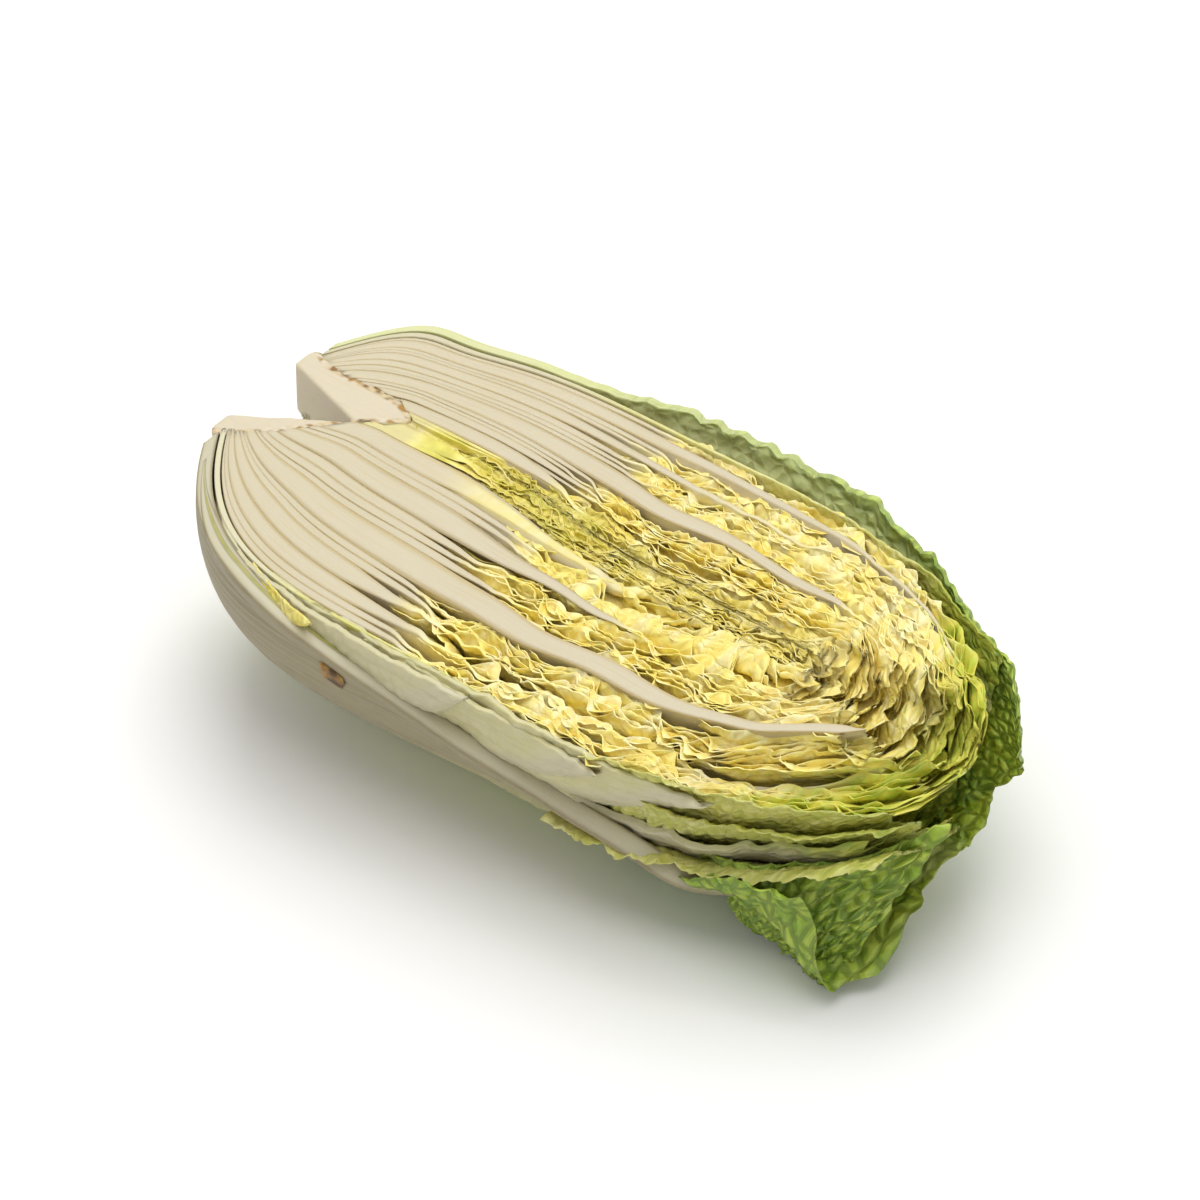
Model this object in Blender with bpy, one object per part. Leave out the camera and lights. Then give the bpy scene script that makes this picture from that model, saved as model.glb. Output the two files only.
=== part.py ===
"""Half of a napa cabbage, cut lengthwise, lying on its round side with the cut face up.

+X runs from the butt to the leafy tip, +Y to the far side and +Z up. The origin is the
centre of the flat spot under the head, where it rests. Along the head, "x" is counted
from the butt. Round the head, an angle of 0 is the near cut edge, 90 is straight down
and 180 is the far cut edge.
"""

import math
from typing import NamedTuple

import bmesh
import bpy
import numpy as np

MM = 0.001
GOLDEN_ANGLE = 137.5

# The closed head
HEAD_LENGTH = 290 * MM
BUTT_RADIUS = 20 * MM
HEAD_RADIUS = 71 * MM
WIDEST_AT = 150 * MM
SHOULDER_POWER = 5.0
TIP_POWER = 2.6
TIP_ROUNDNESS = 0.75
DEPTH_SHARE = 0.95
NEAR_FULLNESS = 1.03
FAR_FULLNESS = 0.92
FAR_BULGE = 12 * MM
FAR_BULGE_AT = 14 * MM
FAR_BULGE_LENGTH = 18 * MM
CUT_HEIGHT = 75.8 * MM
RESTS_AT = 120 * MM
SPOT_REACH = 46 * MM

# The heart, off to the far side of the head's middle
HEART_OFFSET = 17 * MM
HEART_OFFSET_END = 42 * MM
HEART_RETURN_START = 70 * MM
HEART_RETURN = 80 * MM
HEART_RETURN_SHARE = 0.55
HEART_CLOSING_SHARE = 0.4

# The core: a cone that leans towards the heart, with a V notch cut through it
CORE_RADIUS = 27 * MM
CORE_TAPER = 0.54
CORE_BUTT = -4 * MM
CORE_END = 45 * MM
CORE_ROUNDING = 3 * MM
CORE_STEPS = 14
NOTCH_HALF_MOUTH = 17 * MM
NOTCH_DEPTH = 35 * MM
NOTCH_VERTEX_Y = 5.8 * MM
CORE_GAP = 0.4 * MM

# The head leaves, from the heart outwards
LEAF_COUNT = 28
FIRST_TURN = 5
HEART_LEAVES = 3
HALF_SPAN = 104.0
SPAN_FADE = 14.0
ABSENT_SHARE = 0.12
FIRST_LEAF_END = 222 * MM
LEAF_END_REACH = 64 * MM
LEAF_END_POWER = 1.3
END_FADE = 14 * MM
END_ROUNDING = 12 * MM
HEART_HOLLOW = 0.02
RIB_BASE_SPREAD = 48.0
RIB_TIP_SPREAD = 12.0
RIB_NARROWING = 85 * MM
RIB_SHARE = 3.2
RIB_REACH = 300 * MM
RIB_FULLNESS = 1.3
BLADE = 1.0 * MM
LEAST_FILLED = 0.5
LEAF_GAP = 0.42 * MM
END_GAP = 0.5 * MM
BUTT_GAP_LENGTH = 26 * MM
TIP_GAP_START = 235 * MM
TIP_GAP_GROWTH = 30 * MM

# Waves that neighbouring blades follow together
WAVE_HEIGHT = 2.2 * MM
WAVE_LENGTH = 54 * MM
WAVE_START = 95 * MM
WAVE_FULL = 160 * MM
WAVE_TURN_BY_LAYER = 6.0
WAVE_TURN_BY_ANGLE = 1.6
EDGE_WAVE = 4 * MM
EDGE_TURN = 2.3
WRAPPER_EDGE_WAVE = 5.2 * MM
WRAPPER_END_ROUNDING = 19 * MM

# The wrapper leaves, loose round the head
WRAP_LENGTH_FAR = 300 * MM
WRAP_LENGTH_NEAR = 338 * MM
WRAP_GAP = 0.9 * MM
LOOSENING = 1.2 * MM
LOOSE_FROM = 165 * MM
LOOSENING_LENGTH = 40 * MM
WIDENING_START = 180 * MM
WIDENING = 64 * MM
RIPPLE = 1.2 * MM
RIPPLE_START = 190 * MM
RIPPLE_GROWTH = 50 * MM
RIPPLE_LENGTH = 44 * MM
RIPPLE_TURN = 2.2
SAG_START = 40 * MM
SAG_AT = 100 * MM
SAG_DEPTH = 20 * MM
SAG_POWER = 1.3
SAG_LAYER = 8 * MM
RIB_RUN_OUT = 20 * MM
LEAST_RIB = 0.12
FLARE_WIDTH = 11 * MM
FLARE_START = 70 * MM
FLARE_END = 185 * MM
FLARE_GROWTH = 70 * MM
FLARE_SPREAD = 16.0
LOBE_REACH = 41 * MM
LOBE_ANGLE = 52.0
LOBE_SPREAD = 14.0
LOBE_START = 236 * MM
LOBE_POWER = 1.4
FLAG_ANGLE = 146.0
FLAG_SPREAD = 20.0
FLAG_REACH = 22 * MM
FLOOR_CLEARANCE = 0.6 * MM
BOTTOM_FAR_SPAN = 40.0
HUG_LENGTH_NEAR = 306 * MM
HUG_START = 185 * MM
HUG_GROWTH = 35 * MM
DROP_ANGLE = 28.0
DROP_START = 150 * MM
DROP_LENGTH = 45 * MM

# The grid that all leaves share: lines along the head and rings round it
COLUMNS = 14
RINGS = np.array([0, 8, 18, 31, 50, 76, 104, 130, 154, 178, 202, 224, 244, 262, 277, 290, 304]) * MM
ROW_STEP = 0.8 * MM
ROW_CLEAR = 4 * MM
EDGE_STEP = 1.2
EDGE_MARGIN = 4.0
PETIOLE_AT = 20 * MM
SCAN_STEP = 0.25 * MM


class Wrapper(NamedTuple):
    """A loose outer leaf: where its rib lies, how far it spans and how thick its rib is."""

    name: str
    rib_angle: float
    base_span: float
    tip_span: float
    rib: float
    end: float
    colour: str


WRAPPERS = (
    Wrapper("wrapper_leaf_near_inner", 38, 95, 95, 4.5 * MM, 274 * MM, "pale_green_leaf"),
    Wrapper("wrapper_leaf_far_inner", 152, 90, 90, 3.0 * MM, 270 * MM, "pale_green_leaf"),
    Wrapper("wrapper_leaf_far", 170, 66, 66, 3.2 * MM, 284 * MM, "green_leaf"),
    Wrapper("wrapper_leaf_near", 9, 66, 66, 7.5 * MM, 252 * MM, "outer_rib_leaf"),
    Wrapper("wrapper_leaf_bottom", 87, 33, 58, 7.0 * MM, 284 * MM, "green_leaf"),
)

COLOURS = {
    "core_white": ((0.83, 0.78, 0.68), 0.55),
    "heart_yellow_green": ((0.72, 0.66, 0.24), 0.5),
    "rib_white_leaf": ((0.84, 0.79, 0.62), 0.45),
    "yellow_leaf": ((0.85, 0.76, 0.38), 0.5),
    "pale_green_leaf": ((0.72, 0.74, 0.48), 0.45),
    "outer_rib_leaf": ((0.70, 0.70, 0.56), 0.4),
    "green_leaf": ((0.38, 0.50, 0.14), 0.5),
}


def smoothstep(value):
    """Ease from 0 to 1 as the value goes from 0 to 1."""
    held = np.clip(value, 0.0, 1.0)
    return held * held * (3.0 - 2.0 * held)


def closed_radius(x, length):
    """Radius at x of a shell that swells from the butt and closes at its length."""
    shoulder = np.clip(1.0 - x / WIDEST_AT, 0.0, 1.0) ** SHOULDER_POWER
    closing = np.clip((x - WIDEST_AT) / (length - WIDEST_AT), 0.0, 1.0) ** TIP_POWER
    swelling = BUTT_RADIUS + (HEAD_RADIUS - BUTT_RADIUS) * (1.0 - shoulder)
    return swelling * (1.0 - closing) ** TIP_ROUNDNESS


def shell_radius(angle, x, length):
    """Radius of a closed shell, fuller on the near side than on the far one."""
    far_share = np.sin(np.radians(angle) / 2) ** 4
    fullness = NEAR_FULLNESS + (FAR_FULLNESS - NEAR_FULLNESS) * far_share
    bulge = FAR_BULGE * far_share * np.exp(-(((x - FAR_BULGE_AT) / FAR_BULGE_LENGTH) ** 2))
    return fullness * closed_radius(x, length) + bulge


def heart_offset(x):
    """How far the heart lies towards the far side at x."""
    leaving = smoothstep(x / HEART_OFFSET_END)
    returning = 1.0 - HEART_RETURN_SHARE * smoothstep((x - HEART_RETURN_START) / HEART_RETURN)
    closing = 1.0 - HEART_CLOSING_SHARE * smoothstep((x - WIDEST_AT) / (HEAD_LENGTH - WIDEST_AT))
    return HEART_OFFSET * leaving * returning * closing


def core_radius(x):
    """Radius of the core at x."""
    return CORE_RADIUS - CORE_TAPER * x


def in_notch(x, y):
    """True where a point in plan lies in the V notch or within a gap of it."""
    share = (x - CORE_BUTT) / NOTCH_DEPTH
    near = -NOTCH_HALF_MOUTH + (NOTCH_VERTEX_Y + NOTCH_HALF_MOUTH) * share
    far = NOTCH_HALF_MOUTH + (NOTCH_VERTEX_Y - NOTCH_HALF_MOUTH) * share
    return (y > near - CORE_GAP) & (y < far + CORE_GAP) & (share < 1.0)


def column_angles():
    """Angles of the grid's lines, closer together towards the two cut edges."""
    even = np.linspace(0.0, 1.0, COLUMNS)
    eased = 0.5 * (1.0 - np.cos(math.pi * even))
    return 180.0 * 0.5 * (even + eased)


def rib_height(angle_from_rib, x):
    """How much of the rib is left at an angle from its middle, from 0 to 1."""
    spread = RIB_TIP_SPREAD + (RIB_BASE_SPREAD - RIB_TIP_SPREAD) * np.exp(-x / RIB_NARROWING)
    return np.exp(-((angle_from_rib / spread) ** 2))


def turn_of(leaf):
    """Angle of a head leaf's rib, between -90 and 270."""
    return (GOLDEN_ANGLE * (leaf + FIRST_TURN) + 90.0) % 360.0 - 90.0


def leaf_end(leaf):
    """Where along the head a leaf's rib ends."""
    return FIRST_LEAF_END + LEAF_END_REACH * (leaf / (LEAF_COUNT - 1)) ** LEAF_END_POWER


def leaf_gap(x):
    """The gap between neighbouring head leaves, wider at the butt and the tip."""
    wider = np.exp(-((x / BUTT_GAP_LENGTH) ** 2)) + smoothstep((x - TIP_GAP_START) / TIP_GAP_GROWTH)
    return LEAF_GAP + END_GAP * wider


def layer_weight(leaf, angle, x):
    """The share of the head's radius that a leaf asks for at an angle and x."""
    off = np.abs(angle - turn_of(leaf))
    inside = smoothstep((HALF_SPAN + SPAN_FADE - off) / SPAN_FADE)
    before_end = smoothstep((leaf_end(leaf) + END_FADE - x) / END_FADE)
    present = ABSENT_SHARE + (1.0 - ABSENT_SHARE) * inside * before_end
    reach = RIB_SHARE * np.clip(1.0 - (x / RIB_REACH) ** 4, 0.0, 1.0)
    return present * (1.0 + reach * rib_height(off, x))


def head_point(layer, angle, x):
    """A point of the head: layer 0 is the heart's line and layer 1 its outside."""
    radius = shell_radius(angle, x, HEAD_LENGTH)
    turned = np.radians(angle)
    heart = heart_offset(x)
    growing = smoothstep((x - WAVE_START) / (WAVE_FULL - WAVE_START))
    wave = WAVE_HEIGHT * growing * 4 * layer * (1 - layer)
    phase = 2 * math.pi * x / WAVE_LENGTH + WAVE_TURN_BY_LAYER * layer + WAVE_TURN_BY_ANGLE * turned
    lifted = layer + wave * np.sin(phase) / HEAD_RADIUS
    y = heart * (1.0 - lifted) - lifted * radius * np.cos(turned)
    z = CUT_HEIGHT - DEPTH_SHARE * lifted * radius * np.sin(turned)
    return np.stack([x + 0 * y, y, z], axis=-1)


def head_layers():
    """The inner and outer face of every head leaf on the shared grid."""
    x, angle = np.meshgrid(RINGS, column_angles(), indexing="ij")
    weights = np.array([layer_weight(leaf, angle, x) for leaf in range(LEAF_COUNT)])
    edges = np.cumsum(weights, axis=0) / weights.sum(axis=0)
    edges = np.concatenate([np.zeros((1, *x.shape)), edges])
    edges = HEART_HOLLOW + (1.0 - HEART_HOLLOW) * edges
    turned = np.radians(angle)
    radius = shell_radius(angle, x, HEAD_LENGTH)
    reach = np.hypot(heart_offset(x) + radius * np.cos(turned), DEPTH_SHARE * radius * np.sin(turned))
    reach = np.maximum(reach, 1 * MM)
    layers = []
    for leaf in range(LEAF_COUNT):
        room = (edges[leaf + 1] - edges[leaf]) * reach
        rib = np.clip(RIB_FULLNESS * rib_height(np.abs(angle - turn_of(leaf)), x), 0.0, 1.0)
        filled = np.maximum(room - leaf_gap(x), LEAST_FILLED * room)
        thick = np.minimum(filled, BLADE + (filled - BLADE) * rib)
        middle = 0.5 * (edges[leaf] + edges[leaf + 1])
        half = 0.5 * thick / reach
        layers.append((head_point(middle - half, angle, x), head_point(middle + half, angle, x)))
    return layers


def wrap_radius(angle, x):
    """Radius inside the wrapper leaves, which stand open at the tip on the near side."""
    share = np.cos(np.radians(angle) / 2) ** 2
    return shell_radius(angle, x, WRAP_LENGTH_FAR + (WRAP_LENGTH_NEAR - WRAP_LENGTH_FAR) * share)


def hug(angle, x):
    """How far the near inner leaf lies inside the other wrappers, against the head's tip."""
    share = np.cos(np.radians(angle) / 2) ** 2
    close = shell_radius(angle, x, WRAP_LENGTH_FAR + (HUG_LENGTH_NEAR - WRAP_LENGTH_FAR) * share)
    return (wrap_radius(angle, x) - close) * smoothstep((x - HUG_START) / HUG_GROWTH)


def wrapper_point(radius, angle, x):
    """A point of a wrapper leaf, at a radius from the head's middle."""
    turned = np.radians(angle)
    y = -radius * np.cos(turned)
    z = CUT_HEIGHT - DEPTH_SHARE * radius * np.sin(turned)
    return np.stack([x + 0 * y, y, z], axis=-1)


def wrapper_span(wrapper, x):
    """Half of the angle that a wrapper leaf spans at x."""
    widening = smoothstep((x - WIDENING_START) / WIDENING)
    return wrapper.base_span + (wrapper.tip_span - wrapper.base_span) * widening


def wrapper_layers():
    """The inner and outer face of every wrapper leaf, each laid on the one before."""
    x, angle = np.meshgrid(RINGS, column_angles(), indexing="ij")
    turned = np.radians(angle)
    ripple = RIPPLE * smoothstep((x - RIPPLE_START) / RIPPLE_GROWTH)
    radius = wrap_radius(angle, x) + WRAP_GAP
    radius = radius + ripple * (1 + np.sin(2 * math.pi * x / RIPPLE_LENGTH + RIPPLE_TURN * turned))
    layers = []
    for wrapper in WRAPPERS:
        off = np.abs(angle - wrapper.rib_angle)
        span = wrapper_span(wrapper, x)
        present = smoothstep((span + SPAN_FADE - off) / SPAN_FADE)
        narrowing = np.clip(1.0 - (x / (wrapper.end + RIB_RUN_OUT)) ** 3, LEAST_RIB, 1.0)
        thick = BLADE + wrapper.rib * narrowing * rib_height(off, x)
        flare = np.zeros_like(x)
        pull = hug(angle, x) if wrapper.name == "wrapper_leaf_near_inner" else 0.0
        if wrapper.name == "wrapper_leaf_far":
            opening = smoothstep((x - FLARE_START) / FLARE_GROWTH)
            along = opening * (1 - smoothstep((x - FLARE_END) / FLARE_GROWTH))
            flare += FLARE_WIDTH * along * np.exp(-(((180 - angle) / FLARE_SPREAD) ** 2))
        if wrapper.name == "wrapper_leaf_bottom":
            grow = np.clip((x - LOBE_START) / (wrapper.end - LOBE_START), 0.0, 1.0) ** LOBE_POWER
            flare += LOBE_REACH * grow * np.exp(-(((angle - LOBE_ANGLE) / LOBE_SPREAD) ** 2))
        inner_face = wrapper_point(radius + flare - pull, angle, x)
        outer_face = wrapper_point(radius + flare - pull + thick, angle, x)
        layers.append((inner_face, outer_face))
        near_share = np.cos(turned / 2) ** 2
        loose = WRAP_GAP + LOOSENING * near_share * smoothstep((x - LOOSE_FROM) / LOOSENING_LENGTH)
        radius = radius + flare + present * (thick + loose)
    return layers


def on_face(face, angle, x):
    """The point of a grid face at an angle and x, on the flat triangle that it lies in."""
    angles = column_angles()
    column = int(np.clip(np.searchsorted(angles, angle, side="right") - 1, 0, COLUMNS - 2))
    ring = int(np.clip(np.searchsorted(RINGS, x, side="right") - 1, 0, len(RINGS) - 2))
    v = (angle - angles[column]) / (angles[column + 1] - angles[column])
    u = (x - RINGS[ring]) / (RINGS[ring + 1] - RINGS[ring])
    near_corner, far_corner = face[ring, column], face[ring + 1, column + 1]
    if u >= v:
        side = face[ring + 1, column]
        return near_corner + u * (side - near_corner) + v * (far_corner - side)
    side = face[ring, column + 1]
    return near_corner + v * (side - near_corner) + u * (far_corner - side)


def leaf_start(face, angle):
    """Where a leaf's face comes clear of the core and the notch at an angle."""
    start = RINGS[0]
    for x in np.arange(0.0, CORE_END + 6 * MM, SCAN_STEP):
        point = on_face(face, angle, x)
        from_axis = math.hypot(point[1] - heart_offset(x), (point[2] - CUT_HEIGHT) / DEPTH_SHARE)
        if from_axis < max(core_radius(x), 0.0) + CORE_GAP or in_notch(x, point[1]):
            start = x + SCAN_STEP
    return start


def material(name):
    """A Principled material of one colour and roughness."""
    found = bpy.data.materials.get(name)
    if found:
        return found
    colour, roughness = COLOURS[name]
    made = bpy.data.materials.new(name)
    made.use_nodes = True
    shader = made.node_tree.nodes["Principled BSDF"]
    shader.inputs["Base Color"].default_value = (*colour, 1.0)
    shader.inputs["Roughness"].default_value = roughness
    shader.inputs["Metallic"].default_value = 0.0
    return made


def add_object(name, bm, colour):
    """Turn a bmesh into a named object with its own material."""
    bmesh.ops.recalc_face_normals(bm, faces=bm.faces[:])
    mesh = bpy.data.meshes.new(name)
    bm.to_mesh(mesh)
    bm.free()
    mesh.materials.append(material(colour))
    made = bpy.data.objects.new(name, mesh)
    bpy.context.scene.collection.objects.link(made)
    return made


def add_sheet(name, inner, outer, colour):
    """A closed leaf from two grids of points, split into triangles alike on both faces."""
    rows = inner.shape[0] - 1
    columns = inner.shape[1] - 1
    bm = bmesh.new()
    bmesh.ops.create_grid(bm, x_segments=rows, y_segments=columns, size=0.5)
    bmesh.ops.triangulate(bm, faces=bm.faces[:], quad_method="FIXED")
    made = bmesh.ops.extrude_face_region(bm, geom=bm.faces[:], use_keep_orig=True)
    for item in made["geom"]:
        if isinstance(item, bmesh.types.BMVert):
            item.co.z = 1.0
    for vert in bm.verts:
        row = round((vert.co.x + 0.5) * rows)
        column = round((vert.co.y + 0.5) * columns)
        face = outer if vert.co.z > 0.5 else inner
        vert.co = face[row, column]
    bmesh.ops.translate(bm, verts=bm.verts[:], vec=(-RESTS_AT, 0.0, 0.0))
    bmesh.ops.triangulate(bm, faces=[face for face in bm.faces if len(face.verts) > 3])
    add_object(name, bm, colour)


def rows_between(start, end, first_ring, last_ring):
    """The rows of one column: its start, the shared rings between, and its end."""
    rows = [start]
    for ring in range(first_ring, last_ring + 1):
        rows.append(min(max(RINGS[ring], rows[-1] + ROW_STEP), end - ROW_STEP * (last_ring + 1 - ring)))
    rows.append(end)
    return rows


def face_grid(face, angles_at, starts, ends, first_ring, last_ring):
    """One face of a leaf as a grid of points, row by row."""
    columns = []
    for column, (start, end) in enumerate(zip(starts, ends)):
        rows = rows_between(start, end, first_ring, last_ring)
        columns.append([on_face(face, angles_at(column, x), x) for x in rows])
    return np.array(columns).transpose(1, 0, 2)


def add_leaf(name, faces, angles_at, count, ends, colour):
    """A leaf between its two faces, from the core to its end."""
    starts = [[leaf_start(face, angles_at(column, PETIOLE_AT)) for column in range(count)] for face in faces]
    earliest = min(min(starts[0]), min(starts[1]))
    inside = [i for i, x in enumerate(RINGS) if earliest + ROW_CLEAR < x < max(ends) - ROW_CLEAR]
    grids = []
    for face, start in zip(faces, starts):
        grids.append(face_grid(face, angles_at, start, ends, inside[0], inside[-1]))
    add_sheet(name, grids[0], grids[1], colour)


def add_head_leaves():
    """Every leaf of the closed head, from the heart outwards."""
    for leaf, faces in enumerate(head_layers()):
        turn = turn_of(leaf)
        angles = [a for a in column_angles() if abs(a - turn) <= HALF_SPAN]
        ends = []
        for column, angle in enumerate(angles):
            off = (angle - turn) / HALF_SPAN
            wave = EDGE_WAVE * math.sin(EDGE_TURN * column + leaf)
            ends.append(leaf_end(leaf) - END_ROUNDING * off * off + wave)
        if leaf < HEART_LEAVES:
            name, colour = f"heart_leaf_{leaf + 1:02d}", "heart_yellow_green"
        else:
            outer = leaf > 0.5 * LEAF_COUNT
            name = f"head_leaf_{leaf + 1 - HEART_LEAVES:02d}"
            colour = "rib_white_leaf" if outer else "yellow_leaf"
        add_leaf(name, faces, lambda column, x, angles=angles: angles[column], len(angles), ends, colour)


def add_core():
    """The core: a leaning cone cut level on top, with the V notch through it."""
    bm = bmesh.new()
    shoulder = CORE_BUTT + CORE_ROUNDING
    profile = [(CORE_BUTT, 0.0), (CORE_BUTT, core_radius(shoulder) - CORE_ROUNDING)]
    profile += [(x, core_radius(x)) for x in np.linspace(shoulder, CORE_END, 9)]
    profile.append((CORE_END, 0.0))
    line = [bm.verts.new((x, -radius, 0.0)) for x, radius in profile]
    edges = [bm.edges.new(pair) for pair in zip(line, line[1:])]
    bmesh.ops.spin(
        bm, geom=line + edges, cent=(0, 0, 0), axis=(1, 0, 0), angle=math.pi, steps=CORE_STEPS
    )
    bmesh.ops.remove_doubles(bm, verts=bm.verts[:], dist=0.01 * MM)
    rim = [edge for edge in bm.edges if edge.is_boundary]
    bmesh.ops.contextual_create(bm, geom=rim)
    for vert in bm.verts:
        vert.co.y += float(heart_offset(max(vert.co.x, 0.0)))
        vert.co.z = CUT_HEIGHT + DEPTH_SHARE * vert.co.z
    bmesh.ops.translate(bm, verts=bm.verts[:], vec=(-RESTS_AT, 0.0, 0.0))
    core = add_object("core", bm, "core_white")
    notch = core.modifiers.new("notch", "BOOLEAN")
    notch.operation = "DIFFERENCE"
    notch.object = add_notch_cutter()


def add_notch_cutter():
    """The wedge that the notch is cut with."""
    beyond = 6 * MM
    near_slope = (NOTCH_VERTEX_Y + NOTCH_HALF_MOUTH) / NOTCH_DEPTH
    far_slope = (NOTCH_VERTEX_Y - NOTCH_HALF_MOUTH) / NOTCH_DEPTH
    corners = (
        (CORE_BUTT - beyond, -NOTCH_HALF_MOUTH - near_slope * beyond),
        (CORE_BUTT + NOTCH_DEPTH, NOTCH_VERTEX_Y),
        (CORE_BUTT - beyond, NOTCH_HALF_MOUTH - far_slope * beyond),
    )
    bm = bmesh.new()
    face = bm.faces.new([bm.verts.new((x - RESTS_AT, y, CUT_HEIGHT + beyond)) for x, y in corners])
    made = bmesh.ops.extrude_face_region(bm, geom=[face], use_keep_orig=True)
    moved = [item for item in made["geom"] if isinstance(item, bmesh.types.BMVert)]
    bmesh.ops.translate(bm, verts=moved, vec=(0, 0, -2 * CORE_RADIUS))
    cutter = add_object("notch_cutter", bm, "core_white")
    cutter.hide_render = True
    cutter.display_type = "WIRE"
    return cutter


def sag_angle(x):
    """How far down the near outer leaf's cut edge has sagged at x."""
    depth = SAG_DEPTH * max((x - SAG_START) / SAG_AT, 0.0) ** SAG_POWER
    radius = float(wrap_radius(0.0, x)) + SAG_LAYER
    return math.degrees(math.asin(min(depth / (DEPTH_SHARE * radius), 0.95)))


def wrapper_edges(wrapper, x):
    """The lowest and highest angle of a wrapper leaf at x."""
    span = float(wrapper_span(wrapper, x))
    low = max(wrapper.rib_angle - span, 0.0)
    high = min(wrapper.rib_angle + span, 180.0)
    if wrapper.name == "wrapper_leaf_near":
        low = sag_angle(x)
    if wrapper.name == "wrapper_leaf_near_inner":
        low = DROP_ANGLE * float(smoothstep((x - DROP_START) / DROP_LENGTH))
    if wrapper.name == "wrapper_leaf_bottom":
        high = min(high, wrapper.rib_angle + BOTTOM_FAR_SPAN)
    return low, high


def add_wrapper_leaves():
    """Every loose leaf round the head."""
    for wrapper, faces in zip(WRAPPERS, wrapper_layers()):
        inner, outer = (face.copy() for face in faces)
        outer[..., 2] = np.maximum(outer[..., 2], 0.0)
        off_spot = np.abs(RINGS - RESTS_AT) > SPOT_REACH
        outer[off_spot, :, 2] = np.maximum(outer[off_spot, :, 2], FLOOR_CLEARANCE)
        inner[..., 2] = np.maximum(inner[..., 2], outer[..., 2] + BLADE)
        widest = max(wrapper.base_span, wrapper.tip_span)
        lines = [a for a in column_angles() if abs(a - wrapper.rib_angle) <= widest + EDGE_MARGIN]

        def angles_at(column, x, wrapper=wrapper, lines=lines):
            low, high = wrapper_edges(wrapper, x)
            raised = max(lines[column], low + EDGE_STEP * column)
            return min(raised, high - EDGE_STEP * (len(lines) - 1 - column))

        ends = []
        for column in range(len(lines)):
            angle = angles_at(column, wrapper.end)
            off = (angle - wrapper.rib_angle) / wrapper.tip_span
            wave = WRAPPER_EDGE_WAVE * math.sin(EDGE_TURN * column + wrapper.rib_angle)
            end = wrapper.end - WRAPPER_END_ROUNDING * off * off + wave
            if wrapper.name == "wrapper_leaf_far":
                end += FLAG_REACH * math.exp(-(((angle - FLAG_ANGLE) / FLAG_SPREAD) ** 2))
            ends.append(end)
        add_leaf(wrapper.name, (inner, outer), angles_at, len(lines), ends, wrapper.colour)


def main():
    """Clear the scene and model the half head."""
    for thing in list(bpy.data.objects):
        bpy.data.objects.remove(thing)
    add_core()
    add_head_leaves()
    add_wrapper_leaves()


main()
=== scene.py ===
"""Dresses the half napa cabbage: every leaf, the heart and the core as fine meshes.

Along the head, x is counted from the butt. Round the head, an angle of 0 is the near cut
edge, 90 is straight down and 180 is the far cut edge. Layer 0 is the heart's line and
layer 1 is the outside of the closed head. These are the model's own measures, so each
fine leaf lies where its solid does.
"""

from __future__ import annotations

import logging
import math
from dataclasses import dataclass
from enum import Enum

import bmesh
import bpy
import numpy as np
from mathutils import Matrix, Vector

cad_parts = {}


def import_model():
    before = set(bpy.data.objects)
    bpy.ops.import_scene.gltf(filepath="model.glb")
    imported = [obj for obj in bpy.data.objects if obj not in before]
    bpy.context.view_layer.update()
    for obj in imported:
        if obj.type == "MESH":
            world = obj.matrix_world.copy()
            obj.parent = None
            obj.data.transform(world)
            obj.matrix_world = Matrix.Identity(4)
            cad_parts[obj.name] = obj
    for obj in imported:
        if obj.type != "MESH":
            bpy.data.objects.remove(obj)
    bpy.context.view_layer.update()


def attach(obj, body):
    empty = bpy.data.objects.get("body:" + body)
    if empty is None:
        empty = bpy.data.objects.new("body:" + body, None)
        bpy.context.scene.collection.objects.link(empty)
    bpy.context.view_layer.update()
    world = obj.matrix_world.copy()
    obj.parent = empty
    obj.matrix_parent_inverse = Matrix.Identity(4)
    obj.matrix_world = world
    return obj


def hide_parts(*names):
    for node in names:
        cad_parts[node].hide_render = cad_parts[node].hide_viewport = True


LOG = logging.getLogger("napa_cabbage")
MM = 0.001
BODY = "root"
Array = np.ndarray
# The head's radius, by which an angle becomes a length of arc.
GIRTH = 72 * MM
# Steps along the base of the head at which a leaf is tried against the core and the notch.
BASE_STEPS = np.arange(0.0, 51.0, 0.5) * MM
# What a leaf's material reads at each point: rib, green, light patches, blisters, and cut edge with painted
# groove shade.
LEAF_VALUES = ("rib", "green", "tone", "net", "seam")


def smoothstep(value: Array | float) -> Array:
    """Ease from 0 to 1 as the value goes from 0 to 1."""
    held = np.clip(value, 0.0, 1.0)
    return held * held * (3.0 - 2.0 * held)


def arc_of(angle: Array) -> Array:
    """Length of the arc that an angle spans on the outside of the head."""
    return np.radians(angle) * GIRTH


def thinned(share: Array, fade: float, least: float) -> Array:
    """1 along a leaf, falling to a least value over the last part of it."""
    return smoothstep((1.0 - share) / fade) * (1.0 - least) + least


def row_shares(rows: int) -> Array:
    """How far along a sheet each row lies, with the first row twice, as a column."""
    return np.concatenate([[0.0], np.linspace(0.0, 1.0, rows)])[:, None]


def through(values: tuple[float, float, float], share: Array) -> Array:
    """A smooth value that runs through three given ones as a share goes from 0 to 1.

    Args:
        values: The values at a share of 0, 0.5 and 1.
        share: From 0 to 1.

    Returns:
        The value at each share.
    """
    first, middle, last = values
    ends = first * (1 - share) * (1 - 2 * share) + last * share * (2 * share - 1)
    return ends + 4 * middle * share * (1 - share)


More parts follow.
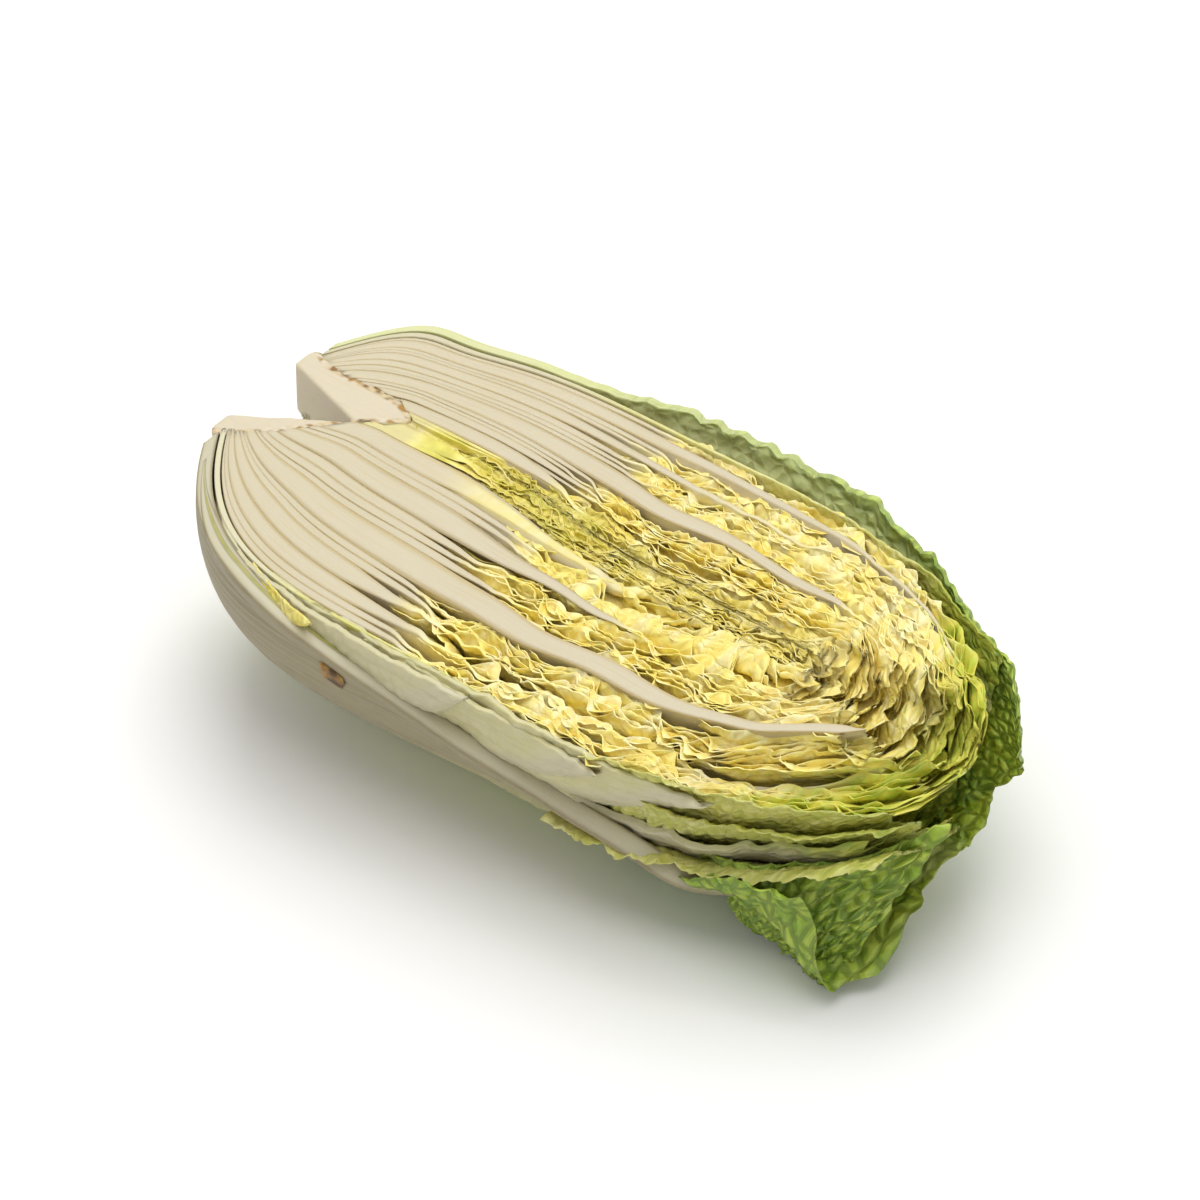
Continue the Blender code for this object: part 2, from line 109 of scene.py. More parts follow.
def linear(colour: str) -> tuple[float, float, float, float]:
    """Turn an sRGB hex colour into linear light.

    Args:
        colour: Six hex digits after a hash.

    Returns:
        Red, green, blue and a full alpha.
    """
    parts = [int(colour[i : i + 2], 16) / 255 for i in (1, 3, 5)]
    red, green, blue = (p / 12.92 if p <= 0.04045 else ((p + 0.055) / 1.055) ** 2.4 for p in parts)
    return red, green, blue, 1.0


def add_node(tree: bpy.types.NodeTree, kind: str, links: dict | None = None, **settings) -> bpy.types.Node:
    """Add a node, set its properties and sockets, and link its inputs.

    Args:
        tree: The node tree that gets the node.
        kind: The node's type name.
        links: Input name or number to an output socket or a plain value.
        settings: Properties of the node itself.

    Returns:
        The new node.
    """
    node = tree.nodes.new(kind)
    for name, value in settings.items():
        setattr(node, name, value)
    for name, value in (links or {}).items():
        if isinstance(value, bpy.types.NodeSocket):
            tree.links.new(value, node.inputs[name])
        else:
            node.inputs[name].default_value = value
    return node


class LatticeNoise:
    """Smooth seeded noise between -1 and 1 over three coordinates."""

    SIDE = 32

    def __init__(self, seed: int) -> None:
        """Fill the lattice from a seed."""
        self.table = np.random.default_rng(seed).uniform(-1.0, 1.0, (self.SIDE,) * 3)

    def __call__(self, u: Array, v: Array, w: Array | float) -> Array:
        """Read the noise at points given in cells.

        Args:
            u: First coordinate.
            v: Second coordinate.
            w: Third coordinate.

        Returns:
            One value for each point.
        """
        u, v, w = np.broadcast_arrays(np.asarray(u, float), v, w)
        corners = [np.floor(c).astype(int) for c in (u, v, w)]
        shares = [smoothstep(c - f) for c, f in zip((u, v, w), corners)]
        total = np.zeros(u.shape)
        for a in (0, 1):
            for b in (0, 1):
                for c in (0, 1):
                    weight = 1.0
                    index = []
                    for step, corner, share in zip((a, b, c), corners, shares):
                        weight = weight * (share if step else 1.0 - share)
                        index.append((corner + step) % self.SIDE)
                    total += weight * self.table[tuple(index)]
        return total


class Blisters:
    """The quilted relief of a savoyed blade: domes between a net of sunken veins."""

    SIDE = 64

    def __init__(self, seed: int) -> None:
        """Scatter one dome centre in each cell from a seed."""
        self.centres = np.random.default_rng(seed).uniform(0.12, 0.88, (self.SIDE, self.SIDE, 2))

    def __call__(self, u: Array, v: Array) -> Array:
        """Height of the domes at points given in cells.

        Args:
            u: Coordinate along the leaf.
            v: Coordinate across the leaf.

        Returns:
            0 on the net of veins, rising to 1 on top of a dome.
        """
        first = np.full(np.shape(u), 9.0)
        second = np.full(np.shape(u), 9.0)
        row, column = np.floor(u).astype(int), np.floor(v).astype(int)
        for a in (-1, 0, 1):
            for b in (-1, 0, 1):
                centre = self.centres[(row + a) % self.SIDE, (column + b) % self.SIDE]
                away = np.hypot(row + a + centre[..., 0] - u, column + b + centre[..., 1] - v)
                second = np.minimum(second, np.maximum(first, away))
                first = np.minimum(first, away)
        return np.clip(1.5 * (second - first), 0.0, 1.0) ** 0.7


@dataclass(frozen=True)
class HeadShape:
    """The driving sizes of the head, and the rules that every leaf is laid by."""

    length: float = 290 * MM
    butt_radius: float = 20 * MM
    radius: float = 71 * MM
    widest_at: float = 150 * MM
    shoulder_power: float = 5.0
    tip_power: float = 2.6
    tip_roundness: float = 0.75
    depth_share: float = 0.95
    near_fullness: float = 1.03
    far_fullness: float = 0.92
    far_bulge: float = 12 * MM
    far_bulge_at: float = 14 * MM
    far_bulge_length: float = 18 * MM
    cut_height: float = 75.8 * MM
    rests_at: float = 120 * MM
    heart_offset_most: float = 17 * MM
    heart_offset_end: float = 42 * MM
    heart_return_start: float = 70 * MM
    heart_return: float = 80 * MM
    heart_return_share: float = 0.55
    heart_closing_share: float = 0.4
    core_radius_at_butt: float = 27 * MM
    core_taper: float = 0.54
    core_end: float = 45 * MM
    notch_start: float = -4 * MM
    notch_depth: float = 35 * MM
    notch_half_mouth: float = 17 * MM
    notch_vertex_y: float = 5.8 * MM
    leaves: int = 28
    first_turn: int = 5
    golden_angle: float = 137.5
    half_span: float = 104.0
    span_fade: float = 14.0
    absent_share: float = 0.12
    first_leaf_end: float = 222 * MM
    leaf_end_reach: float = 64 * MM
    leaf_end_power: float = 1.3
    end_fade: float = 14 * MM
    heart_hollow: float = 0.02
    rib_base_spread: float = 48.0
    rib_tip_spread: float = 12.0
    rib_narrowing: float = 85 * MM
    rib_share: float = 3.2
    rib_reach: float = 300 * MM
    wave_height: float = 1.2 * MM
    wave_length: float = 54 * MM
    wave_start: float = 95 * MM
    wave_full: float = 160 * MM
    wave_turn_by_layer: float = 6.0
    wave_turn_by_angle: float = 1.6
    wrap_length_far: float = 300 * MM
    wrap_length_near: float = 338 * MM

    def closed_radius(self, x: Array, length: Array | float) -> Array:
        """Radius at x of a shell that swells from the butt and closes at its length.

        Args:
            x: Places along the head.
            length: Where the shell closes.

        Returns:
            The radius at each place.
        """
        shoulder = np.clip(1.0 - x / self.widest_at, 0.0, 1.0) ** self.shoulder_power
        closing = np.clip((x - self.widest_at) / (length - self.widest_at), 0.0, 1.0) ** self.tip_power
        swelling = self.butt_radius + (self.radius - self.butt_radius) * (1.0 - shoulder)
        return swelling * (1.0 - closing) ** self.tip_roundness

    def shell_radius(self, angle: Array, x: Array, length: Array | float) -> Array:
        """Radius of a closed shell, fuller on the near side than on the far one.

        Args:
            angle: Angles round the head.
            x: Places along the head.
            length: Where the shell closes.

        Returns:
            The radius at each point.
        """
        far_share = np.sin(np.radians(angle) / 2) ** 4
        fullness = self.near_fullness + (self.far_fullness - self.near_fullness) * far_share
        bulge = np.exp(-(((x - self.far_bulge_at) / self.far_bulge_length) ** 2))
        return fullness * self.closed_radius(x, length) + self.far_bulge * far_share * bulge

    def wrap_radius(self, angle: Array, x: Array) -> Array:
        """Radius inside the wrapper leaves, which stand open at the tip on the near side.

        Args:
            angle: Angles round the head.
            x: Places along the head.

        Returns:
            The radius at each point.
        """
        share = np.cos(np.radians(angle) / 2) ** 2
        length = self.wrap_length_far + (self.wrap_length_near - self.wrap_length_far) * share
        return self.shell_radius(angle, x, length)

    def heart_offset(self, x: Array) -> Array:
        """How far the heart lies towards the far side at x.

        Args:
            x: Places along the head.

        Returns:
            The distance from the head's middle.
        """
        leaving = smoothstep(x / self.heart_offset_end)
        returning = smoothstep((x - self.heart_return_start) / self.heart_return)
        closing = smoothstep((x - self.widest_at) / (self.length - self.widest_at))
        kept = (1.0 - self.heart_return_share * returning) * (1.0 - self.heart_closing_share * closing)
        return self.heart_offset_most * leaving * kept

    def core_radius(self, x: Array) -> Array:
        """Radius of the core at x."""
        return np.maximum(self.core_radius_at_butt - self.core_taper * x, 0.0)

    def in_notch(self, x: Array, y: Array, gap: float) -> Array:
        """True where a point in plan lies in the V notch or within a gap of it.

        Args:
            x: Places along the head.
            y: Places across the head.
            gap: How much wider than the notch to look.

        Returns:
            True or false for each point.
        """
        share = (x - self.notch_start) / self.notch_depth
        near = -self.notch_half_mouth + (self.notch_vertex_y + self.notch_half_mouth) * share
        far = self.notch_half_mouth + (self.notch_vertex_y - self.notch_half_mouth) * share
        return (y > near - gap) & (y < far + gap) & (share < 1.0)

    def rib_height(self, off: Array, x: Array) -> Array:
        """How much of a rib is left at an angle from its middle, from 0 to 1."""
        spread = self.rib_tip_spread + (self.rib_base_spread - self.rib_tip_spread) * np.exp(
            -x / self.rib_narrowing
        )
        return np.exp(-((off / spread) ** 2))

    def turn_of(self, leaf: int) -> float:
        """Angle of a head leaf's rib, between -90 and 270."""
        return (self.golden_angle * (leaf + self.first_turn) + 90.0) % 360.0 - 90.0

    def leaf_end(self, leaf: int) -> float:
        """Where along the head a leaf's rib ends."""
        share = leaf / (self.leaves - 1)
        return self.first_leaf_end + self.leaf_end_reach * share**self.leaf_end_power

    def layer_weight(self, leaf: int, angle: Array, x: Array) -> Array:
        """The share of the head's radius that a leaf asks for.

        Args:
            leaf: The leaf's number, from the heart outwards.
            angle: Angles round the head.
            x: Places along the head.

        Returns:
            The weight at each point.
        """
        off = np.abs(angle - self.turn_of(leaf))
        inside = smoothstep((self.half_span + self.span_fade - off) / self.span_fade)
        before_end = smoothstep((self.leaf_end(leaf) + self.end_fade - x) / self.end_fade)
        present = self.absent_share + (1.0 - self.absent_share) * inside * before_end
        reach = self.rib_share * np.clip(1.0 - (x / self.rib_reach) ** 4, 0.0, 1.0)
        return present * (1.0 + reach * self.rib_height(off, x))

    def layer_edges(self, leaf: int, angle: Array, x: Array) -> tuple[Array, Array]:
        """The layers between which a leaf lies.

        Args:
            leaf: The leaf's number, from the heart outwards.
            angle: Angles round the head.
            x: Places along the head.

        Returns:
            The inner and outer layer at each point.
        """
        weights = [self.layer_weight(k, angle, x) for k in range(self.leaves)]
        total = sum(weights)
        inner = sum(weights[:leaf], np.zeros_like(total)) / total
        outer = inner + weights[leaf] / total
        hollow = self.heart_hollow
        return hollow + (1.0 - hollow) * inner, hollow + (1.0 - hollow) * outer

    def reach(self, angle: Array, x: Array) -> Array:
        """Distance from the heart's line to the outside of the head.

        Args:
            angle: Angles round the head.
            x: Places along the head.

        Returns:
            The distance at each point.
        """
        turned = np.radians(angle)
        radius = self.shell_radius(angle, x, self.length)
        across = self.heart_offset(x) + radius * np.cos(turned)
        return np.maximum(np.hypot(across, self.depth_share * radius * np.sin(turned)), 1 * MM)

    def point(self, layer: Array, angle: Array, x: Array) -> Array:
        """Points of the head at a layer, an angle and x, in the row's frame.

        Args:
            layer: 0 on the heart's line and 1 on the outside.
            angle: Angles round the head.
            x: Places along the head.

        Returns:
            The points, with x, y and z on the last axis.
        """
        radius = self.shell_radius(angle, x, self.length)
        turned = np.radians(angle)
        growing = smoothstep((x - self.wave_start) / (self.wave_full - self.wave_start))
        wave = self.wave_height * growing * 4 * layer * (1 - layer)
        phase = 2 * math.pi * x / self.wave_length
        phase = phase + self.wave_turn_by_layer * layer + self.wave_turn_by_angle * turned
        lifted = layer + wave * np.sin(phase) / GIRTH
        y = self.heart_offset(x) * (1.0 - lifted) - lifted * radius * np.cos(turned)
        z = self.cut_height - self.depth_share * lifted * radius * np.sin(turned)
        return np.stack([x - self.rests_at, y, z], axis=-1)

    def shell_point(self, radius: Array, angle: Array, x: Array) -> Array:
        """Points at a radius from the head's middle, in the row's frame.

        Args:
            radius: Distances from the head's middle.
            angle: Angles round the head.
            x: Places along the head.

        Returns:
            The points, with x, y and z on the last axis.
        """
        turned = np.radians(angle)
        y = -radius * np.cos(turned)
        z = self.cut_height - self.depth_share * radius * np.sin(turned)
        return np.stack([x - self.rests_at, y, z], axis=-1)


HEAD = HeadShape()


class Finish(Enum):
    """The record's material slots."""

    CORE = "core_white"
    HEART = "heart_yellow_green"
    RIB = "rib_white_leaf"
    YELLOW = "yellow_leaf"
    PALE = "pale_green_leaf"
    OUTER = "outer_rib_leaf"
    GREEN = "green_leaf"


@dataclass(frozen=True)
class Section:
    """One closed section of a leaf: inner face, rim, outer face and the other rim.

    Attributes:
        face: Lines on each face, from the low edge to the high one.
        rim: Lines across the thickness at each edge.
        easing: How far the lines crowd towards the two edges, from 0 to 1.
    """

    face: int
    rim: int
    easing: float

    def places(self) -> tuple[Array, Array]:
        """Where each line lies.

        Returns:
            Its share of the leaf's span, and its side: -1 inside and 1 outside.
        """
        even = np.linspace(0.0, 1.0, self.face)
        eased = even - self.easing * np.sin(2 * math.pi * even) / (2 * math.pi)
        across = np.linspace(-1.0, 1.0, self.rim + 2)[1:-1]
        span = np.concatenate([eased, np.ones(self.rim), eased[::-1], np.zeros(self.rim)])
        side = np.concatenate([-np.ones(self.face), across, np.ones(self.face), -across])
        return span, side

    def opposite(self) -> Array:
        """For each line, the number of the line across the thickness from it.

        Returns:
            The number of the line opposite each one.
        """
        faces = np.arange(self.face)
        rims = np.arange(self.rim)[::-1]
        outer = self.face + self.rim
        return np.concatenate([outer + faces[::-1], self.face + rims, faces[::-1], outer + self.face + rims])


@dataclass
class Surface:
    """A leaf's points, row by row along it, and what its material reads.

    Attributes:
        points: The points of each row.
        values: Some of LEAF_VALUES at each point. The others are 0.
        grain: Each point's place on the flattened leaf, where the patterns lie.
    """

    points: Array
    values: dict[str, Array | float]
    grain: Array

    def close(self, section: Section) -> None:
        """Bring the inner and outer face together on the first and last row.

        Args:
            section: The lines of its sections.
        """
        across = section.opposite()
        self.points[0] = 0.5 * (self.points[1] + self.points[1, across])
        self.points[-1] = 0.5 * (self.points[-1] + self.points[-1, across])


class TubeMaker:
    """Makes leaf meshes: grids rolled into a tube, one row for each section."""

    def __init__(self) -> None:
        """Start with no rolled grids."""
        self.rolled: dict[tuple[int, int], tuple[bpy.types.Mesh, Array, Array]] = {}

    def roll(self, rows: int, columns: int) -> tuple[bpy.types.Mesh, Array, Array]:
        """Roll a grid into a tube and note each point's row and column.

        Args:
            rows: How many sections.
            columns: How many points in a section.

        Returns:
            The mesh, and each point's row and column.
        """
        bm = bmesh.new()
        bmesh.ops.create_grid(bm, x_segments=rows - 1, y_segments=columns, size=0.5)
        for vert in bm.verts:
            turn = (vert.co.y + 0.5) * 2 * math.pi
            vert.co = (vert.co.x + 0.5, math.cos(turn), math.sin(turn))
        bmesh.ops.remove_doubles(bm, verts=bm.verts[:], dist=0.0001)
        for face in bm.faces:
            face.smooth = True
        mesh = bpy.data.meshes.new("rolled")
        bm.to_mesh(mesh)
        bm.free()
        places = np.empty(len(mesh.vertices) * 3)
        mesh.vertices.foreach_get("co", places)
        places = places.reshape(-1, 3)
        row = np.rint(places[:, 0] * (rows - 1)).astype(int)
        turn = np.arctan2(places[:, 2], places[:, 1]) / (2 * math.pi)
        return mesh, row, np.rint(turn * columns).astype(int) % columns

    def make(self, name: str, surface: Surface, section: Section) -> bpy.types.Object:
        """Make an object from a surface.

        Args:
            name: The object's name.
            surface: Points as rows of closed sections.
            section: The lines of those sections.

        Returns:
            The object, linked to the scene, at the origin.
        """
        surface.close(section)
        key = surface.points.shape[:2]
        if key not in self.rolled:
            self.rolled[key] = self.roll(*key)
        template, row, column = self.rolled[key]
        mesh = template.copy()
        mesh.name = name
        mesh.vertices.foreach_set("co", surface.points[row, column].ravel())
        for label in LEAF_VALUES:
            values = np.broadcast_to(surface.values.get(label, 0.0), key)[row, column]
            mesh.attributes.new(label, "FLOAT", "POINT").data.foreach_set("value", values.astype(np.float32))
        layer = mesh.attributes.new("grain", "FLOAT_VECTOR", "POINT")
        layer.data.foreach_set("vector", surface.grain[row, column].astype(np.float32).ravel())
        self.weld(mesh)
        made = bpy.data.objects.new(name, mesh)
        bpy.context.scene.collection.objects.link(made)
        return made

    @staticmethod
    def weld(mesh: bpy.types.Mesh) -> None:
        """Close the two ends and turn the faces outwards.

        Args:
            mesh: The tube to close.
        """
        bm = bmesh.new()
        bm.from_mesh(mesh)
        bmesh.ops.remove_doubles(bm, verts=bm.verts[:], dist=0.0002 * MM)
        if bm.calc_volume(signed=True) < 0:
            bmesh.ops.reverse_faces(bm, faces=bm.faces[:])
        bm.to_mesh(mesh)
        bm.free()
        mesh.update()

    def clear(self) -> None:
        """Remove the rolled grids once every leaf is made."""
        for mesh, _, _ in self.rolled.values():
            bpy.data.meshes.remove(mesh)
        self.rolled.clear()


BROAD = LatticeNoise(11)
CRUMPLE = LatticeNoise(23)
FINE = LatticeNoise(37)
EDGE = LatticeNoise(41)
QUILT = Blisters(53)

# Where the ribs end that the photographed cut shows whole, by the number of their leaf.
CUT_RIB_ENDS = {3: 152 * MM, 4: 100 * MM, 8: 166 * MM, 12: 212 * MM, 16: 276 * MM, 20: 244 * MM}


@dataclass(frozen=True)
class HeadLeaf:
    """A leaf of the closed head: flush rib, ragged crinkled blade, frilled end.

    Attributes:
        number: The leaf's number, from the heart outwards.
        section: The lines of its sections.
    """

    number: int
    section: Section = Section(face=32, rim=3, easing=0.86)
    blade: float = 0.42 * MM
    rib_fullness: float = 1.25
    rib_gap: float = 0.05 * MM
    overlap: float = 0.14 * MM
    rib_share: float = 0.86
    petiole_end: float = 80 * MM
    petiole_fade: float = 60 * MM
    first_rib_end: float = 85 * MM
    rib_end_reach: float = 180 * MM
    heart_rib_cut: float = 30 * MM
    rib_fade: float = 36 * MM
    rib_taper: float = 0.5
    bevel: float = 0.07 * MM
    blade_recess: float = 0.5 * MM
    ragged: float = 1.15 * MM
    lean: float = 4.2 * MM
    lean_depth: float = 5.0 * MM
    shared_crumple: float = 1.1 * MM
    own_crumple: float = 1.3 * MM
    fine_crumple: float = 0.5 * MM
    end_rounding: float = 12 * MM
    end_wave: float = 4 * MM
    base_rows: int = 26
    dropped_from: int = 15
    drop: float = 11 * MM
    drop_start: float = 178 * MM
    drop_length: float = 62 * MM
    blade_rows: int = 150
    base_share: float = 0.3
    sunk: float = 1.2 * MM
    green_from: float = 212 * MM
    green_growth: float = 62 * MM
    heart_from: float = 42 * MM
    heart_growth: float = 14 * MM
    heart_until: float = 125 * MM
    heart_fade: float = 60 * MM

    @property
    def turn(self) -> float:
        """Angle of the leaf's rib."""
        return HEAD.turn_of(self.number)

    @property
    def place(self) -> float:
        """Where the leaf lies in the head, from 0 at the heart to 1 outside."""
        return self.number / (HEAD.leaves - 1)

    @property
    def span(self) -> tuple[float, float]:
        """The lowest and highest angle of the leaf."""
        return max(self.turn - HEAD.half_span, 0.0), min(self.turn + HEAD.half_span, 180.0)

    @property
    def rib_end(self) -> float:
        """Where along the head the thick part of the rib ends.

        Returns:
            The place along the head.
        """
        if self.number in CUT_RIB_ENDS:
            return CUT_RIB_ENDS[self.number]
        cut = self.heart_rib_cut * math.exp(-((self.place / 0.15) ** 2))
        return self.first_rib_end + self.rib_end_reach * self.place**0.75 - cut

    def rib_at(self, angle: Array, x: Array) -> Array:
        """How far the rib fills the leaf's layer, from 0 to 1.

        Args:
            angle: Angles round it.
            x: Places along the head.

        Returns:
            The share of the layer at each point.
        """
        height = np.clip(self.rib_fullness * HEAD.rib_height(np.abs(angle - self.turn), x), 0.0, 1.0)
        kept = 1.0 - smoothstep((x - self.rib_end + 0.5 * self.rib_fade) / self.rib_fade)
        return height * kept

    def taper(self, x: Array) -> Array:
        """How much of its layer the rib fills, less towards its end.

        Args:
            x: Places along the head.

        Returns:
            The share of the layer at each place.
        """
        share = smoothstep((x - 0.45 * self.rib_end) / (0.55 * self.rib_end))
        stalk = self.petiole(x)
        return stalk + (1.0 - stalk) * self.rib_share * (1.0 - self.rib_taper * share)

    def petiole(self, x: Array) -> Array:
        """1 near the butt, where each leaf is all white stalk, falling to 0 beyond.

        Args:
            x: Places along the head.

        Returns:
            The share of stalk at each place.
        """
        late = 0.35 * self.petiole_fade * BROAD(self.number * 1.7, 0.4, x / (90 * MM))
        early = 34 * MM * (1.0 - smoothstep(self.place / 0.24))
        return 1.0 - smoothstep((x - self.petiole_end + early + late) / self.petiole_fade)

    def flesh(self, angle: Array, x: Array) -> Array:
        """1 where the leaf is thick white flesh, in its rib or its stalk, and 0 in its blade."""
        return np.maximum(self.rib_at(angle, x), self.petiole(x))

    @staticmethod
    def arc(layer: Array, angle: Array, reach: Array) -> Array:
        """How far round the leaf a point lies from the nearer cut edge."""
        from_cut = 90.0 - np.abs(angle - 90.0)
        return np.radians(from_cut) * np.maximum(layer * reach, 6 * MM)

    def left_open(self, angle: Array, x: Array) -> Array:
        """The layers just outside the leaf that the leaves they belong to don't reach.

        Args:
            angle: Angles round it.
            x: Places along the head.

        Returns:
            Their share of the reach at each point.
        """
        empty, reached = np.zeros_like(x), np.ones_like(x)
        for following in range(self.number + 1, min(self.number + 3, HEAD.leaves)):
            off = np.abs(angle - HEAD.turn_of(following))
            reached = reached * (1.0 - smoothstep((HEAD.half_span - off) / 3.0))
            inner, outer = HEAD.layer_edges(following, angle, x)
            empty = empty + reached * (outer - inner)
        return empty

    def starts(self, angle: Array, side: Array) -> Array:
        """Where each line comes out of the core or passes the notch.

        Args:
            angle: Angles round it.
            side: -1 on the inner face and 1 on the outer one.

        Returns:
            Where each line of the leaf starts along the head.
        """
        x, angles = np.meshgrid(BASE_STEPS, angle, indexing="ij")
        inner, outer = HEAD.layer_edges(self.number, angles, x)
        layer = 0.5 * (inner + outer) + 0.4 * side * (outer - inner)
        return clear_of_core(HEAD.point(layer, angles, x), x, self.sunk)

    def ends(self, angle: Array) -> Array:
        """Where each line ends, on the leaf's rounded and frilled tip.

        Args:
            angle: Angles round it.

        Returns:
            The end of each line along the head.
        """
        off = (angle - self.turn) / HEAD.half_span
        wave = BROAD(angle / 17.0, self.number * 2.7, 0.5) + 0.5 * EDGE(angle / 5.0, self.number * 3.1, 0.5)
        return HEAD.leaf_end(self.number) - self.end_rounding * off * off + self.end_wave * wave

    def recess(self, x: Array, angle: float, side: Array) -> Array:
        """How deep the cut edge lies under the cut plane: flush ribs and ragged blades.

        Args:
            x: Places along the head.
            angle: 0 at the near cut edge, 180 at the far one.
            side: -1 on the inner face and 1 on the outer one.

        Returns:
            The depth at each point.
        """
        flesh = self.flesh(np.full_like(x, angle), x)
        row = self.number * 3.7 + angle
        ragged = 1.0 + CRUMPLE(x / (8 * MM), row, 0.3) + 0.6 * EDGE(x / (2.2 * MM), row, 0.7)
        blade = self.blade_recess + self.ragged * np.clip(ragged, 0.0, 2.2)
        settled = 0.14 * MM * (1.0 + BROAD(x / (30 * MM), row, 0.1))
        return (1.0 - smoothstep(1.6 * flesh)) * blade + settled + self.bevel * np.abs(side) ** 5

    def cut_angle(self, x: Array, angle: float, side: Array) -> tuple[Array, Array]:
        """The cut edge's angle away from the cut plane, and the radius there.

        Args:
            x: Places along the head.
            angle: 0 at the near cut edge, 180 at the far one.
            side: -1 on the inner face and 1 on the outer one.

        Returns:
            The angle in degrees and the radius at each point.
        """
        inner, outer = HEAD.layer_edges(self.number, np.full_like(x, angle), x)
        radius = HEAD.shell_radius(np.full_like(x, angle), x, HEAD.length)
        radius = np.maximum(0.5 * (inner + outer) * radius, 1.5 * MM)
        recess = self.recess(x, angle, side) * np.clip(radius / (8 * MM), 0.2, 1.0)
        if angle < 90.0:
            outside = smoothstep((self.number - self.dropped_from) / 7.0)
            recess = recess + outside * self.drop * smoothstep((x - self.drop_start) / self.drop_length)
        share = recess / (HEAD.depth_share * radius)
        return np.degrees(np.arcsin(np.clip(share, 0.0, 0.7))), radius

    def surface(self) -> Surface:
        """Lay the leaf.

        Returns:
            Its points and the values that its material reads.
        """
        span, side = self.section.places()
        base = np.linspace(0.0, self.base_share, self.base_rows, endpoint=False)
        shares = np.concatenate([[0.0], base, np.linspace(self.base_share, 1.0, self.blade_rows)])
        low, high = self.span
        rough = low + (high - low) * span
        start, end = self.starts(rough, side), self.ends(rough)
        x = start + shares[:, None] * (end - start)
        side = np.broadcast_to(side, x.shape)
        near_angle, near_radius = self.cut_angle(x, 0.0, side)
        far_angle, far_radius = self.cut_angle(x, 180.0, side)
        low_edge = near_angle if low <= 0.0 else np.full_like(x, low)
        high_edge = 180.0 - far_angle if high >= 180.0 else np.full_like(x, high)
        angle = low_edge + (high_edge - low_edge) * span
        from_near = np.radians(angle - low_edge) * near_radius if low <= 0.0 else np.ones_like(x)
        from_far = np.radians(high_edge - angle) * far_radius if high >= 180.0 else np.ones_like(x)
        return self.lay(x, angle, side, shares, (from_near, from_far))

    def lay(self, x: Array, angle: Array, side: Array, shares: Array, depths: tuple[Array, Array]) -> Surface:
        """Place the points once each has its x and its angle.

        Args:
            x: Places along the head.
            angle: Angles round it.
            side: -1 on the inner face and 1 on the outer one.
            shares: How far along the leaf each row lies, from 0 to 1.
            depths: How far each point lies from the near and the far cut edge.

        Returns:
            The leaf's points and the values that its material reads.
        """
        inner, outer = HEAD.layer_edges(self.number, angle, x)
        flesh, petiole = self.flesh(angle, x), self.petiole(x)
        outer = outer + petiole * self.left_open(angle, x)
        reach = HEAD.reach(angle, x)
        room = (outer - inner) * reach
        full = self.taper(x)
        filled = np.maximum(full * room - self.rib_gap + self.overlap * petiole, 0.3 * MM)
        thick = np.minimum(filled, self.blade + np.maximum(filled - self.blade, 0.0) * flesh)
        thick = thick * thinned(shares[:, None], 0.03, 0.15)
        middle = 0.5 * (inner + outer)
        arc = self.arc(middle, angle, reach)
        blade = 1.0 - smoothstep(1.5 * flesh)
        ending = smoothstep((shares[:, None] - 0.8) / 0.2)
        moved = self.crumple(x, arc, 9 * middle, room) * (1.0 + 0.5 * ending)
        near = np.exp(-depths[0] / self.lean_depth) * lean_at(x, self.number * 1.3, 4.2)
        far = np.exp(-depths[1] / self.lean_depth) * lean_at(x, self.number * 1.3, 9.7)
        shared = self.shared_crumple * BROAD(x / (15 * MM), arc / (15 * MM), 9 * middle)
        grown = 1.0 - petiole
        moved = blade * (moved + self.lean * (near + far)) + (0.25 + 0.75 * blade) * grown * shared
        layer = np.maximum(middle + (0.5 * side * thick + moved) / reach, 0.004)
        points = HEAD.point(layer, angle, x)
        points[..., 2] = np.minimum(points[..., 2], HEAD.cut_height)
        values = self.values(x, arc, blade, flesh)
        # Painted shade: an ochre tint along the rims of the thick flesh at the cut, standing in for the thin
        # grooves where two stalks meet.
        values["seam"] = smoothstep(flesh) * np.abs(side) ** 3 * np.exp(-np.minimum(*depths) / (1.5 * MM))
        return Surface(points, values, np.stack([x, arc, side * thick], axis=-1))

    def crumple(self, x: Array, arc: Array, row: Array, room: Array) -> Array:
        """The leaf's own folds, as far as its layer leaves room for them.

        Args:
            x: Places along the head.
            arc: Distances round the head.
            row: A number that grows from the heart outwards.
            room: How thick the leaf's layer is.

        Returns:
            How far each point is pushed outwards.
        """
        slack = np.minimum(self.own_crumple, 0.35 * MM + 0.6 * room)
        slack = slack * np.clip(row * 9 * MM / (4 * MM), 0.15, 1.0)
        folds = slack * CRUMPLE(x / (5 * MM), arc / (5 * MM), self.number * 5.3)
        creases = 1.0 - 3.0 * np.abs(FINE(x / (3.2 * MM), arc / (3.2 * MM), self.number * 2.9 + 0.1 * row))
        return folds + self.fine_crumple * creases

